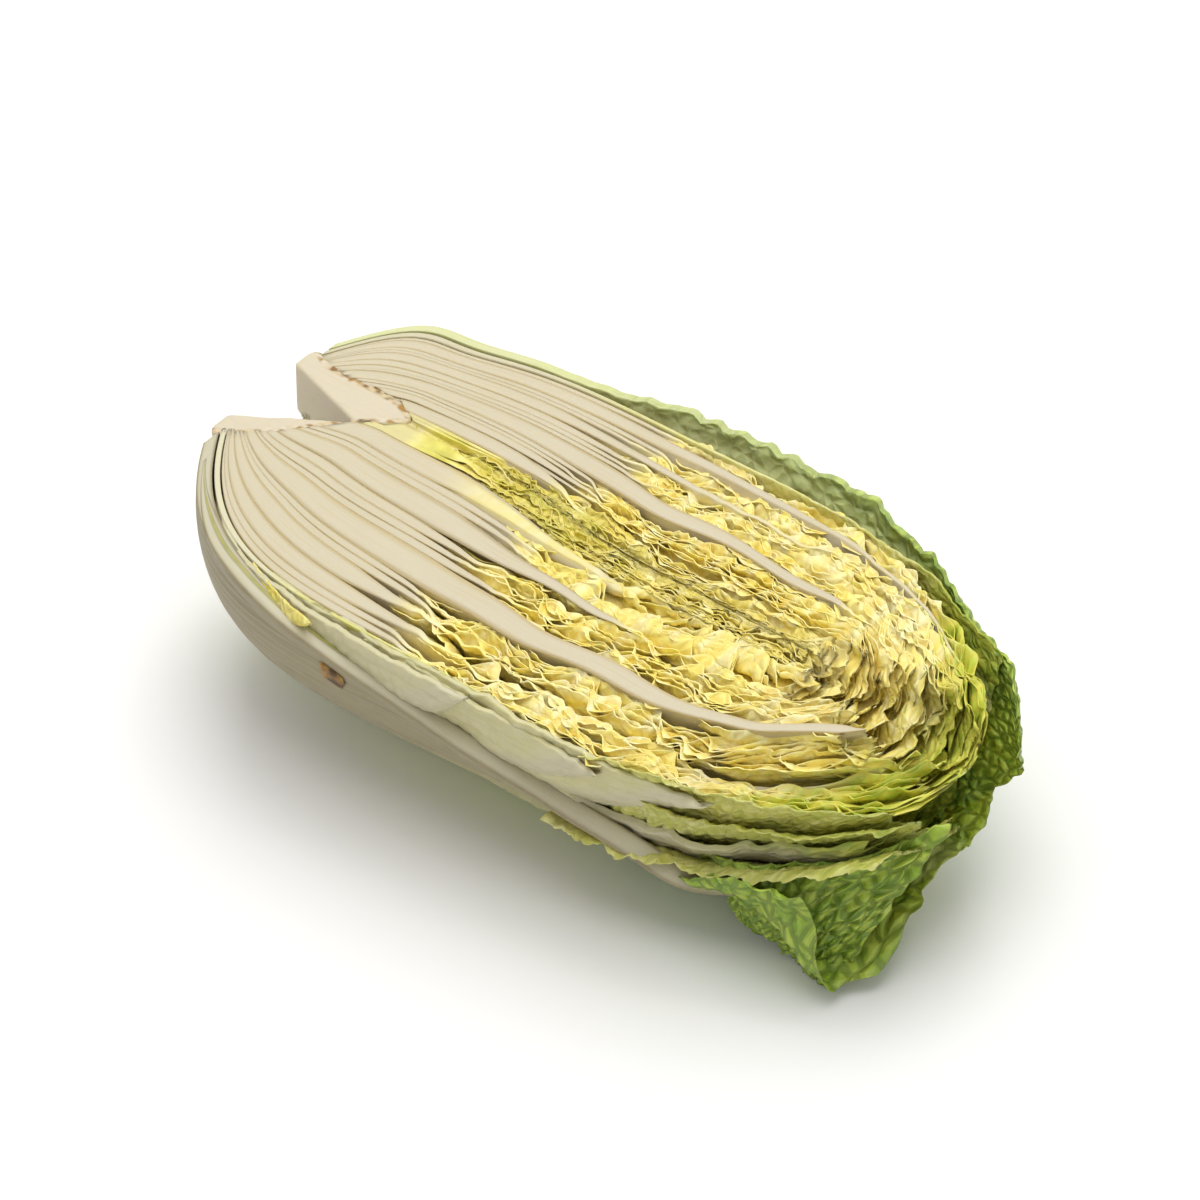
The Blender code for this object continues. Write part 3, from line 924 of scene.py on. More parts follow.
    def values(self, x: Array, arc: Array, blade: Array, flesh: Array) -> dict[str, Array]:
        """What the leaf's material reads at each point.

        Args:
            x: Places along the head.
            arc: Distances round the head.
            blade: How far each point is plain blade.
            flesh: How far each point is white flesh.

        Returns:
            Some of LEAF_VALUES at each point.
        """
        outside = smoothstep((self.place - 0.5) / 0.5)
        late = 14 * MM * BROAD(x / (25 * MM), arc / (20 * MM), self.number * 0.7)
        green = (0.25 + 0.75 * outside) * smoothstep((x + late - self.green_from) / self.green_growth)
        heart = 1.0 - smoothstep((self.place - 0.02) / 0.2)
        heart = heart * smoothstep((x - self.heart_from) / self.heart_growth)
        heart = heart * (1.0 - smoothstep((x - self.heart_until) / self.heart_fade))
        patches = 0.75 + 0.5 * CRUMPLE(x / (6 * MM), arc / (6 * MM), 3.3)
        return {
            "rib": flesh * (1.0 - 0.75 * heart),
            "green": np.clip(green + 0.6 * heart * patches, 0.0, 1.0),
            "tone": BROAD(x / (22 * MM), arc / (16 * MM), self.number * 1.9),
            "net": blade,
        }


def lean_at(x: Array, row: float, turn: float) -> Array:
    """Which way, and how far, a blade's cut edge leans at x, from about -1 to 1."""
    broad = CRUMPLE(x / (13 * MM), row, turn)
    return 1.35 * broad + 0.45 * EDGE(x / (5 * MM), row, turn)


def clear_of_core(place: Array, x: Array, sunk: float) -> Array:
    """Where lines that run along the head come out of the core or pass the notch.

    Args:
        place: Points of each line at each step.
        x: The same points' places along the head.
        sunk: How far a line starts inside the core.

    Returns:
        Where each line starts.
    """
    depth = (place[..., 2] - HEAD.cut_height) / HEAD.depth_share
    from_axis = np.hypot(place[..., 1] - HEAD.heart_offset(x), depth)
    in_core = from_axis < HEAD.core_radius(x)
    in_notch = HEAD.in_notch(x, place[..., 1], 0.3 * MM)
    last = len(BASE_STEPS) - 1
    core_row = np.where(in_core.any(0), last - np.argmax(in_core[::-1], axis=0), 0)
    notch_row = np.where(in_notch.any(0), last - np.argmax(in_notch[::-1], axis=0), 0)
    return np.maximum(np.maximum(BASE_STEPS[core_row] - sunk, 0.0), BASE_STEPS[notch_row])


@dataclass(frozen=True)
class BladeFold(HeadLeaf):
    """A fold of a head leaf's blade, crushed into the space beside the leaf at a cut edge.

    Attributes:
        far: True at the far cut edge, False at the near one.
        offset: Where in the leaf's layer the fold lies.
    """

    far: bool = False
    offset: float = 0.5
    section: Section = Section(face=12, rim=1, easing=0.0)
    reach_down: float = 17 * MM
    fold_start: float = 74 * MM
    rows: int = 150
    ragged: float = 0.9 * MM
    lean: float = 7.0 * MM
    lean_depth: float = 4.2 * MM
    own_crumple: float = 1.7 * MM
    fine_crumple: float = 0.7 * MM
    seed: float = 0.5

    def surface(self) -> Surface:
        """Lay the fold.

        Returns:
            Its points and the values that its material reads.
        """
        span, side = self.section.places()
        shares = row_shares(self.rows)
        cut = 180.0 if self.far else 0.0
        end = HEAD.leaf_end(self.number) - 4 * MM + self.end_wave * BROAD(span * 3, self.number * 4.1, cut)
        end = 0.5 * (end + end[self.section.opposite()])
        x = self.fold_start + shares * (end - self.fold_start)
        edge, radius = self.cut_angle(x, cut, np.zeros_like(x))
        down = np.degrees(self.reach_down * span / np.maximum(radius, 6 * MM))
        side = np.broadcast_to(side, x.shape)
        depth = self.reach_down * span + np.zeros_like(x)
        angle = 180.0 - edge - down if self.far else edge + down
        inner, outer = HEAD.layer_edges(self.number, angle, x)
        reach = HEAD.reach(angle, x)
        room = (outer - inner) * reach
        layer = inner + self.offset * (outer - inner)
        arc = self.arc(layer, angle, reach)
        free = 1.0 - self.petiole(x)
        row = self.number * 1.3 + self.seed
        leaning = self.lean * np.exp(-depth / self.lean_depth) * lean_at(x, row, 4.2 + 5.5 * self.far)
        moved = free * (self.crumple(x, arc + (40 + 23 * self.seed) * MM, layer, room) + leaning)
        thick = self.blade * thinned(shares, 0.03, 0.15)
        layer = np.maximum(layer + (0.5 * side * thick + moved) / reach, 0.004)
        points = HEAD.point(layer, angle, x)
        points[..., 2] = np.minimum(points[..., 2], HEAD.cut_height - 0.9 * MM) - 2.5 * MM * (1.0 - free)
        ones = np.ones_like(x)
        values = self.values(x, arc, ones, 0 * ones)
        return Surface(points, values, np.stack([x, arc, side * thick], axis=-1))


@dataclass(frozen=True)
class Wrapper:
    """A loose outer leaf, laid on the ones before it.

    Attributes:
        name: The node that it stands for.
        rib_angle: Angle of its rib.
        base_span: Half of the angle that it spans at its base.
        tip_span: The same at its tip.
        rib: How thick its rib is.
        end: Where along the head its rib ends.
        finish: Its material slot.
        quilt: How high its blisters stand.
        green_from: Where along it the green begins.
        pale: How broad its rib looks.
        blistered_from: Where along it the blisters begin.
    """

    name: str
    rib_angle: float
    base_span: float
    tip_span: float
    rib: float
    end: float
    finish: Finish
    quilt: float
    green_from: float
    pale: float = 1.5
    blistered_from: float = 120 * MM


WRAPPERS = (
    Wrapper("wrapper_leaf_near_inner", 38, 95, 95, 4.5 * MM, 274 * MM, Finish.PALE, 0.9 * MM, 185 * MM),
    Wrapper("wrapper_leaf_far_inner", 152, 90, 90, 3.0 * MM, 270 * MM, Finish.PALE, 0.9 * MM, 190 * MM),
    Wrapper(
        "wrapper_leaf_far", 170, 66, 66, 3.2 * MM, 284 * MM, Finish.GREEN, 1.5 * MM, 55 * MM,
        pale=0.55, blistered_from=50 * MM,
    ),
    Wrapper("wrapper_leaf_near", 9, 66, 66, 7.5 * MM, 252 * MM, Finish.OUTER, 0.8 * MM, 170 * MM),
    Wrapper("wrapper_leaf_bottom", 87, 33, 58, 7.0 * MM, 284 * MM, Finish.GREEN, 1.6 * MM, 150 * MM),
)


@dataclass(frozen=True)
class WrapShape:
    """The rules by which the loose leaves lie round the head."""

    blade: float = 1.0 * MM
    thin_blade: float = 0.55 * MM
    gap: float = 0.9 * MM
    span_fade: float = 14.0
    loosening: float = 1.2 * MM
    loose_from: float = 165 * MM
    loosening_length: float = 40 * MM
    widening_start: float = 180 * MM
    widening: float = 64 * MM
    ripple: float = 1.2 * MM
    ripple_start: float = 190 * MM
    ripple_growth: float = 50 * MM
    ripple_length: float = 44 * MM
    ripple_turn: float = 2.2
    sag_start: float = 40 * MM
    sag_at: float = 100 * MM
    sag_depth: float = 20 * MM
    sag_power: float = 1.3
    sag_layer: float = 8 * MM
    rib_run_out: float = 20 * MM
    least_rib: float = 0.12
    flare_width: float = 11 * MM
    flare_start: float = 70 * MM
    flare_end: float = 185 * MM
    flare_growth: float = 70 * MM
    flare_spread: float = 16.0
    lobe_reach: float = 41 * MM
    lobe_angle: float = 52.0
    lobe_spread: float = 14.0
    lobe_start: float = 236 * MM
    lobe_power: float = 1.4
    flag_angle: float = 146.0
    flag_spread: float = 20.0
    flag_reach: float = 22 * MM
    bottom_far_span: float = 40.0
    end_rounding: float = 19 * MM
    end_wave: float = 5.2 * MM
    spot_reach: float = 46 * MM
    floor_clearance: float = 0.6 * MM
    hug_length_near: float = 306 * MM
    hug_start: float = 185 * MM
    hug_growth: float = 35 * MM
    drop_angle: float = 28.0
    drop_start: float = 150 * MM
    drop_length: float = 45 * MM

    def span(self, leaf: Wrapper, x: Array) -> Array:
        """Half of the angle that a leaf spans at x."""
        widening = smoothstep((x - self.widening_start) / self.widening)
        return leaf.base_span + (leaf.tip_span - leaf.base_span) * widening

    def sag_angle(self, x: Array) -> Array:
        """How far down the near outer leaf's cut edge has sagged at x.

        Args:
            x: Places along the head.

        Returns:
            The angle in degrees at each place.
        """
        depth = self.sag_depth * np.maximum((x - self.sag_start) / self.sag_at, 0.0) ** self.sag_power
        radius = HEAD.wrap_radius(np.zeros_like(x), x) + self.sag_layer
        return np.degrees(np.arcsin(np.minimum(depth / (HEAD.depth_share * radius), 0.95)))

    def hug(self, angle: Array, x: Array) -> Array:
        """How far the near inner leaf lies inside the other wrappers, against the head's tip.

        Args:
            angle: Angles round the head.
            x: Places along the head.

        Returns:
            The distance at each point.
        """
        share = np.cos(np.radians(angle) / 2) ** 2
        length = HEAD.wrap_length_far + (self.hug_length_near - HEAD.wrap_length_far) * share
        close = HEAD.shell_radius(angle, x, length)
        return (HEAD.wrap_radius(angle, x) - close) * smoothstep((x - self.hug_start) / self.hug_growth)

    def flare(self, leaf: Wrapper, angle: Array, x: Array) -> Array:
        """How far a leaf stands away from the ones inside it.

        Args:
            leaf: The wrapper leaf.
            angle: Angles round the head.
            x: Places along the head.

        Returns:
            The distance at each point.
        """
        if leaf.name == "wrapper_leaf_far":
            opening = smoothstep((x - self.flare_start) / self.flare_growth)
            along = opening * (1 - smoothstep((x - self.flare_end) / self.flare_growth))
            return self.flare_width * along * np.exp(-(((180 - angle) / self.flare_spread) ** 2))
        if leaf.name == "wrapper_leaf_bottom":
            grown = np.clip((x - self.lobe_start) / (leaf.end - self.lobe_start), 0.0, 1.0) ** self.lobe_power
            return self.lobe_reach * grown * np.exp(-(((angle - self.lobe_angle) / self.lobe_spread) ** 2))
        return np.zeros_like(x)

    def rib_thickness(self, leaf: Wrapper, angle: Array, x: Array) -> Array:
        """How much a leaf's rib adds to its thickness."""
        narrowing = np.clip(1.0 - (x / (leaf.end + self.rib_run_out)) ** 3, self.least_rib, 1.0)
        return leaf.rib * narrowing * HEAD.rib_height(np.abs(angle - leaf.rib_angle), x)

    def radius(self, leaf: Wrapper, angle: Array, x: Array) -> Array:
        """Radius of a leaf's inner face, outside all the leaves before it.

        Args:
            leaf: The wrapper leaf.
            angle: Angles round the head.
            x: Places along the head.

        Returns:
            The radius at each point.
        """
        turned = np.radians(angle)
        ripple = self.ripple * smoothstep((x - self.ripple_start) / self.ripple_growth)
        radius = HEAD.wrap_radius(angle, x) + self.gap
        radius = radius + ripple * (
            1 + np.sin(2 * math.pi * x / self.ripple_length + self.ripple_turn * turned)
        )
        loosening = smoothstep((x - self.loose_from) / self.loosening_length)
        loose = self.gap + self.loosening * np.cos(turned / 2) ** 2 * loosening
        for before in WRAPPERS:
            radius = radius + self.flare(before, angle, x)
            if before is leaf:
                break
            off = np.abs(angle - before.rib_angle)
            present = smoothstep((self.span(before, x) + self.span_fade - off) / self.span_fade)
            radius = radius + present * (self.blade + self.rib_thickness(before, angle, x) + loose)
        if leaf.name == "wrapper_leaf_near_inner":
            radius = radius - self.hug(angle, x)
        return radius

    def edges(self, leaf: Wrapper, x: Array) -> tuple[Array, Array]:
        """The lowest and highest angle of a leaf at x.

        Args:
            leaf: The wrapper leaf.
            x: Places along the head.

        Returns:
            The two angles at each place, in degrees.
        """
        span = self.span(leaf, x)
        low = np.maximum(leaf.rib_angle - span, 0.0)
        high = np.minimum(leaf.rib_angle + span, 180.0)
        if leaf.name == "wrapper_leaf_near":
            low = self.sag_angle(x)
        if leaf.name == "wrapper_leaf_near_inner":
            low = self.drop_angle * smoothstep((x - self.drop_start) / self.drop_length)
        if leaf.name == "wrapper_leaf_bottom":
            high = np.minimum(high, leaf.rib_angle + self.bottom_far_span)
        return low, high

    def end(self, leaf: Wrapper, angle: Array) -> Array:
        """Where a leaf ends at an angle.

        Args:
            leaf: The wrapper leaf.
            angle: Angles round the head.

        Returns:
            The end at each angle, along the head.
        """
        off = (angle - leaf.rib_angle) / leaf.tip_span
        wave = BROAD(angle / 13.0, leaf.rib_angle, 0.5) + 0.6 * EDGE(angle / 4.0, leaf.rib_angle, 0.5)
        end = leaf.end - self.end_rounding * off * off + self.end_wave * wave
        if leaf.name == "wrapper_leaf_far":
            end = end + self.flag_reach * np.exp(-(((angle - self.flag_angle) / self.flag_spread) ** 2))
        return end


WRAP = WrapShape()


@dataclass(frozen=True)
class WrapperSurface:
    """The fine surface of a loose leaf: rib lines, savoy blisters and frilled margins."""

    leaf: Wrapper
    section: Section = Section(face=92, rim=8, easing=0.35)
    rows: int = 190
    rib_line: float = 0.22 * MM
    rib_line_width: float = 3.4 * MM
    frill: float = 2.0 * MM
    frill_width: float = 9 * MM
    quilt_cell: float = 8 * MM
    sunk: float = 1.0 * MM
    blister_growth: float = 80 * MM
    green_growth: float = 70 * MM
    white_until: float = 25 * MM
    white_fade: float = 75 * MM
    row_crowding: float = 1.4
    row_for_edges: float = 20 * MM

    def starts(self, angle: Array, side: Array) -> Array:
        """Where each line comes out of the core or passes the notch.

        Args:
            angle: Angles round it.
            side: -1 on the inner face and 1 on the outer one.

        Returns:
            Where each line of the leaf starts along the head.
        """
        x, angles = np.meshgrid(BASE_STEPS, angle, indexing="ij")
        thick = WRAP.blade + WRAP.rib_thickness(self.leaf, angles, x)
        radius = WRAP.radius(self.leaf, angles, x) + 0.5 * (1 + side) * thick
        return clear_of_core(HEAD.shell_point(radius, angles, x), x, self.sunk)

    def surface(self) -> Surface:
        """Lay the leaf.

        Returns:
            Its points and the values that its material reads.
        """
        leaf = self.leaf
        span, side = self.section.places()
        along = 1.0 - (1.0 - np.linspace(0.0, 1.0, self.rows)) ** self.row_crowding
        shares = np.concatenate([[0.0], along])
        base_low, base_high = WRAP.edges(leaf, np.full(1, self.row_for_edges))
        tip_low, tip_high = WRAP.edges(leaf, np.full(1, leaf.end))
        start = self.starts(base_low + (base_high - base_low) * span, side)
        end = WRAP.end(leaf, tip_low + (tip_high - tip_low) * span)
        end = 0.5 * (end + end[self.section.opposite()])
        x = start + shares[:, None] * (end - start)
        side = np.broadcast_to(side, x.shape)
        low, high = WRAP.edges(leaf, x)
        angle = low + (high - low) * span
        arc = arc_of(angle)
        rib = HEAD.rib_height(np.abs(angle - leaf.rib_angle), x)
        rib = rib * np.clip(1.0 - (x / (leaf.end + WRAP.rib_run_out)) ** 3, 0.0, 1.0)
        blade = 1.0 - smoothstep(0.93 * leaf.pale * rib)
        thick = WRAP.thin_blade + WRAP.rib_thickness(leaf, angle, x)
        thick = thick * thinned(shares[:, None], 0.02, 0.2)
        from_end = (1.0 - shares[:, None]) * (end - start)
        low_margin = arc_of(angle - low) + (0 if np.any(tip_low > 0) else 1)
        far_leaf = leaf.name == "wrapper_leaf_far"
        high_margin = arc_of(high - angle) + (0 if far_leaf or np.any(tip_high < 180) else 1)
        margin = np.minimum(np.minimum(low_margin, high_margin), from_end)
        margin = np.exp(-margin / self.frill_width)
        grown = smoothstep((x - leaf.blistered_from) / self.blister_growth)
        quilt = QUILT(x / self.quilt_cell + leaf.rib_angle, arc / self.quilt_cell)
        winding = 2 * BROAD(x / (60 * MM), arc / (9 * MM), 1.0)
        lines = np.cos(arc / self.rib_line_width * 2 * math.pi + winding)
        relief = leaf.quilt * quilt * blade * grown
        relief = relief + 1.2 * MM * blade * grown * CRUMPLE(x / (11 * MM), arc / (11 * MM), leaf.rib_angle)
        relief = relief + self.frill * margin * grown * FINE(x / (5 * MM), arc / (5 * MM), leaf.rib_angle)
        relief = relief + self.rib_line * lines * smoothstep(2 * rib) * (side > 0)
        radius = WRAP.radius(leaf, angle, x) + 0.5 * (1 + side) * thick + relief
        points = HEAD.shell_point(radius, angle, x)
        off_spot = np.abs(x - HEAD.rests_at) > WRAP.spot_reach
        floor = np.where(off_spot, WRAP.floor_clearance, 0.0) + 0.5 * (1 - side) * WRAP.thin_blade
        if far_leaf:
            ragged = 1.0 + EDGE(x / (5 * MM), 0.3, 0.6) + CRUMPLE(x / (16 * MM), 0.2, 0.9)
            ragged = 1.4 * MM * grown * np.clip(ragged, 0.0, 2.5)
            points[..., 2] -= ragged * np.exp(-high_margin / (4 * MM))
        points[..., 2] = np.clip(points[..., 2], floor, HEAD.cut_height)
        green = smoothstep((x - leaf.green_from) / self.green_growth) * (0.35 + 0.65 * blade)
        white_base = 0.9 * (1.0 - smoothstep((x - self.white_until) / self.white_fade))
        cut = (1.0 - np.abs(side) ** 4) * np.exp(-arc_of(angle - low) / (1.5 * MM))
        values = {
            "rib": np.clip(np.maximum(leaf.pale * rib, white_base), 0.0, 1.0),
            "green": np.clip(green + 0.3 * margin * grown, 0.0, 1.0),
            "tone": BROAD(x / (25 * MM), arc / (18 * MM), leaf.rib_angle),
            "net": blade * grown,
            "seam": cut,
        }
        return Surface(points, values, np.stack([x, arc, side * thick], axis=-1))


@dataclass(frozen=True)
class HeartBlade:
    """A small crumpled blade that stands in the heart, along its line.

    Attributes:
        number: Picks its own folds.
        offset: How far it lies from the heart's line, towards the far side.
        start: Where along the head it begins.
        end: Where it ends.
        green: How green it is.
    """

    number: int
    offset: float
    start: float
    end: float
    green: float
    section: Section = Section(face=14, rim=1, easing=0.0)
    rows: int = 120
    height: float = 13 * MM
    blade: float = 0.5 * MM
    lean: float = 4.0 * MM
    lean_depth: float = 4.0 * MM
    folds: float = 1.5 * MM
    creases: float = 0.8 * MM
    recess: float = 0.5 * MM

    def surface(self) -> Surface:
        """Lay the blade.

        Returns:
            Its points and the values that its material reads.
        """
        span, side = self.section.places()
        shares = row_shares(self.rows)
        x = self.start + shares * (self.end - self.start) + 0 * span
        side = np.broadcast_to(side, x.shape)
        depth = self.height * span + 0 * x
        row = self.number * 3.3
        ending = smoothstep(shares / 0.04) * smoothstep((1.0 - shares) / 0.12)
        leaning = self.lean * np.exp(-depth / self.lean_depth) * lean_at(x, row, 1.7)
        folds = self.folds * CRUMPLE(x / (5 * MM), depth / (5 * MM), row)
        creases = self.creases * (1.0 - 3.0 * np.abs(FINE(x / (3.4 * MM), depth / (3.4 * MM), row)))
        thick = self.blade * (0.25 + 0.75 * ending)
        y = HEAD.heart_offset(x) + self.offset + ending * (leaning + folds + creases) + 0.5 * side * thick
        ragged = 1.0 + CRUMPLE(x / (7 * MM), row, 0.9) + 0.7 * EDGE(x / (2 * MM), row, 0.4)
        top = self.recess + 1.1 * MM * np.clip(ragged, 0.0, 2.4) + (1.0 - ending) * 3 * MM
        points = np.stack([x - HEAD.rests_at, y, HEAD.cut_height - top - depth], axis=-1)
        patches = 0.35 * CRUMPLE(x / (7 * MM), depth / (7 * MM), row)
        values = {
            "green": np.clip(self.green + patches, 0.0, 1.0),
            "tone": BROAD(x / (12 * MM), depth / (9 * MM), row),
            "net": 1.0,
        }
        return Surface(points, values, np.stack([x, depth, side * thick], axis=-1))


HEART_BLADES = tuple(
    HeartBlade(number, offset * MM, start * MM, end * MM, green)
    for number, (offset, start, end, green) in enumerate(
        (
            (4.6, 44, 128, 0.3), (3.2, 39, 140, 0.5), (1.8, 37, 150, 0.7), (0.4, 37, 156, 0.8),
            (-1.0, 39, 160, 0.65), (-2.4, 43, 158, 0.45), (-3.8, 49, 166, 0.3), (-5.3, 55, 170, 0.2),
            (-7.0, 66, 172, 0.2), (-8.8, 72, 176, 0.15), (-10.6, 80, 180, 0.1), (6.2, 66, 150, 0.25),
            (7.8, 76, 170, 0.1),
        )
    )
)


@dataclass(frozen=True)
class LooseSheet:
    """A lobe, flap or frilled edge that lies outside the closed head.

    Attributes:
        name: The piece's name.
        finish: Its material slot.
        start: Where along the head it begins.
        end: Where it ends.
        upper: Angle of its upper edge at its start, middle and end.
        lower: Angle of its lower edge at the same places.
        stand: How far it stands off the closed head at the same places.
        crown: How far its middle bulges outwards.
        curl: How far its upper edge curls outwards.
        pointed: Power by which it narrows to a point, or 0 for none.
        frill: How far its edges wave.
        quilt: How high its blisters stand.
        cell: How wide its blisters are.
        green: How green it is at its start, middle and end.
        white: How much of it, from its lower edge up, is white rib.
        tuck: How far its lower edge is drawn in.
        length: Where the shell that it lies on closes on the near side.
        seed: Picks its own waves.
    """

    name: str
    finish: Finish
    start: float
    end: float
    upper: tuple[float, float, float]
    lower: tuple[float, float, float]
    stand: tuple[float, float, float]
    crown: float = 0.0
    curl: float = 0.0
    curl_width: float = 5 * MM
    pointed: float = 0.0
    frill: float = 1.2 * MM
    quilt: float = 0.6 * MM
    cell: float = 5 * MM
    fold: float = 1.2 * MM
    green: tuple[float, float, float] = (0.0, 0.2, 0.5)
    white: float = 0.0
    tuck: float = 0.0
    length: float = 338 * MM
    seed: float = 0.0
    blade: float = 0.6 * MM
    section: Section = Section(face=34, rim=2, easing=0.2)
    rows: int = 120

    def surface(self) -> Surface:
        """Lay the sheet.

        Returns:
            Its points and the values that its material reads.
        """
        span, side = self.section.places()
        shares = row_shares(self.rows)
        upper, lower = through(self.upper, shares), through(self.lower, shares)
        if self.pointed:
            lower = upper + (lower - upper) * (1.0 - 0.97 * shares**self.pointed)
        x = self.start + shares * (self.end - self.start) + 0 * span
        near_end = smoothstep((shares - 0.75) / 0.25)
        x = x + near_end * self.frill * 1.6 * EDGE(span * 9, self.seed, 0.2)
        side = np.broadcast_to(side, x.shape)
        angle = upper + (lower - upper) * span
        arc = arc_of(angle)
        from_upper = arc_of(angle - upper)
        from_lower = arc_of(lower - angle)
        edge = np.exp(-from_upper / (4 * MM)) + 0.6 * near_end
        folds = self.fold * CRUMPLE(x / (14 * MM) + arc / (22 * MM), arc / (12 * MM), self.seed)
        quilt = QUILT(x / self.cell + self.seed, arc / self.cell)
        stand = through(self.stand, shares) + self.crown * np.sin(math.pi * span) + folds
        stand = stand + self.curl * np.exp(-from_upper / self.curl_width) + self.quilt * (quilt - 0.5)
        stand = stand + self.frill * edge * FINE(x / (4.5 * MM), arc / (8 * MM), self.seed)
        thick = self.blade * (1.0 + 2.5 * self.white) * thinned(shares, 0.04, 0.2)
        stand = stand - self.tuck * span**2
        share = np.cos(np.radians(angle) / 2) ** 2
        length = HEAD.wrap_length_far + (self.length - HEAD.wrap_length_far) * share
        radius = HEAD.shell_radius(angle, x, length) + stand + 0.5 * side * thick
        points = HEAD.shell_point(radius, angle, x)
        drop = self.frill * (1.0 + EDGE(x / (3 * MM), self.seed, 0.6)) * np.exp(-from_upper / (3 * MM)) * 0.6
        points[..., 2] = np.clip(points[..., 2] - drop, WRAP.floor_clearance, HEAD.cut_height)
        rib = self.white * (0.5 + 0.5 * (1.0 - smoothstep(from_lower / (18 * MM))))
        green = through(self.green, shares) * (1.0 - 0.7 * rib)
        green = green + 0.15 * BROAD(x / (9 * MM), arc / (9 * MM), self.seed)
        values = {
            "rib": np.clip(rib, 0.0, 1.0),
            "green": np.clip(green, 0.0, 1.0),
            "tone": BROAD(x / (18 * MM), arc / (12 * MM), self.seed),
            "net": 0.0 if self.white else 1.0,
        }
        return Surface(points, values, np.stack([x, arc, side * thick], axis=-1))


LOBES = (
    LooseSheet(
        "near_lobe_1", Finish.PALE, 20 * MM, 147 * MM, (0, 0, 0), (14, 22, 24),
        (1.8 * MM, 5.2 * MM, 6.6 * MM), crown=1.4 * MM, tuck=3.4 * MM, pointed=7.0, white=0.95,
        green=(0.0, 0.0, 0.1), fold=1.0 * MM, frill=0.6 * MM, seed=1.3,
    ),
    LooseSheet(
        "near_lobe_2", Finish.PALE, 60 * MM, 198 * MM, (0, 0.5, 5), (22, 30, 28),
        (1.2 * MM, 2.8 * MM, 4.8 * MM), crown=1.6 * MM, tuck=2.6 * MM, pointed=5.0, white=0.85,
        green=(0.0, 0.15, 0.3), fold=1.3 * MM, frill=0.8 * MM, seed=2.9,
    ),
    LooseSheet(
        "near_lobe_3", Finish.PALE, 104 * MM, 232 * MM, (0, 0.5, 8), (26, 33, 31),
        (1.0 * MM, 1.6 * MM, 1.6 * MM), crown=1.8 * MM, tuck=2.2 * MM, pointed=4.0, white=0.8,
        green=(0.1, 0.2, 0.3), fold=1.4 * MM, frill=1.0 * MM, seed=4.1, length=308 * MM,
    ),
    LooseSheet(
        "near_frill", Finish.PALE, 176 * MM, 284 * MM, (26, 30, 24), (70, 80, 84),
        (3.4 * MM, 3.2 * MM, 7 * MM), curl=10 * MM, curl_width=8 * MM, frill=2.4 * MM, quilt=1.6 * MM,
        cell=4.2 * MM, green=(0.2, 0.35, 0.5), seed=5.7, length=306 * MM,
    ),
    LooseSheet(
        "tip_edge_upper", Finish.PALE, 190 * MM, 279 * MM, (2, 4, 16), (40, 50, 60),
        (0.6 * MM, 0.8 * MM, 1.2 * MM), curl=1.6 * MM, frill=2.0 * MM, quilt=1.2 * MM, cell=4.6 * MM,
        green=(0.2, 0.4, 0.6), seed=7.9, length=296 * MM,
    ),
    LooseSheet(
        "tip_edge_lower", Finish.PALE, 208 * MM, 284 * MM, (12, 16, 22), (60, 70, 80),
        (1.4 * MM, 2.0 * MM, 4 * MM), curl=2.4 * MM, frill=2.2 * MM, quilt=1.4 * MM, cell=4.6 * MM,
        green=(0.3, 0.5, 0.7), seed=8.6, length=300 * MM,
    ),
    LooseSheet(
        "near_flap", Finish.HEART, 52 * MM, 86 * MM, (0, 0, 0), (3, 9, 9),
        (2.6 * MM, 6.4 * MM, 8.6 * MM), crown=1.4 * MM, pointed=3.0, frill=0.5 * MM, quilt=0.3 * MM,
        green=(0.25, 0.3, 0.5), fold=0.6 * MM, seed=3.3, section=Section(face=14, rim=2, easing=0.0), rows=50,
    ),
)


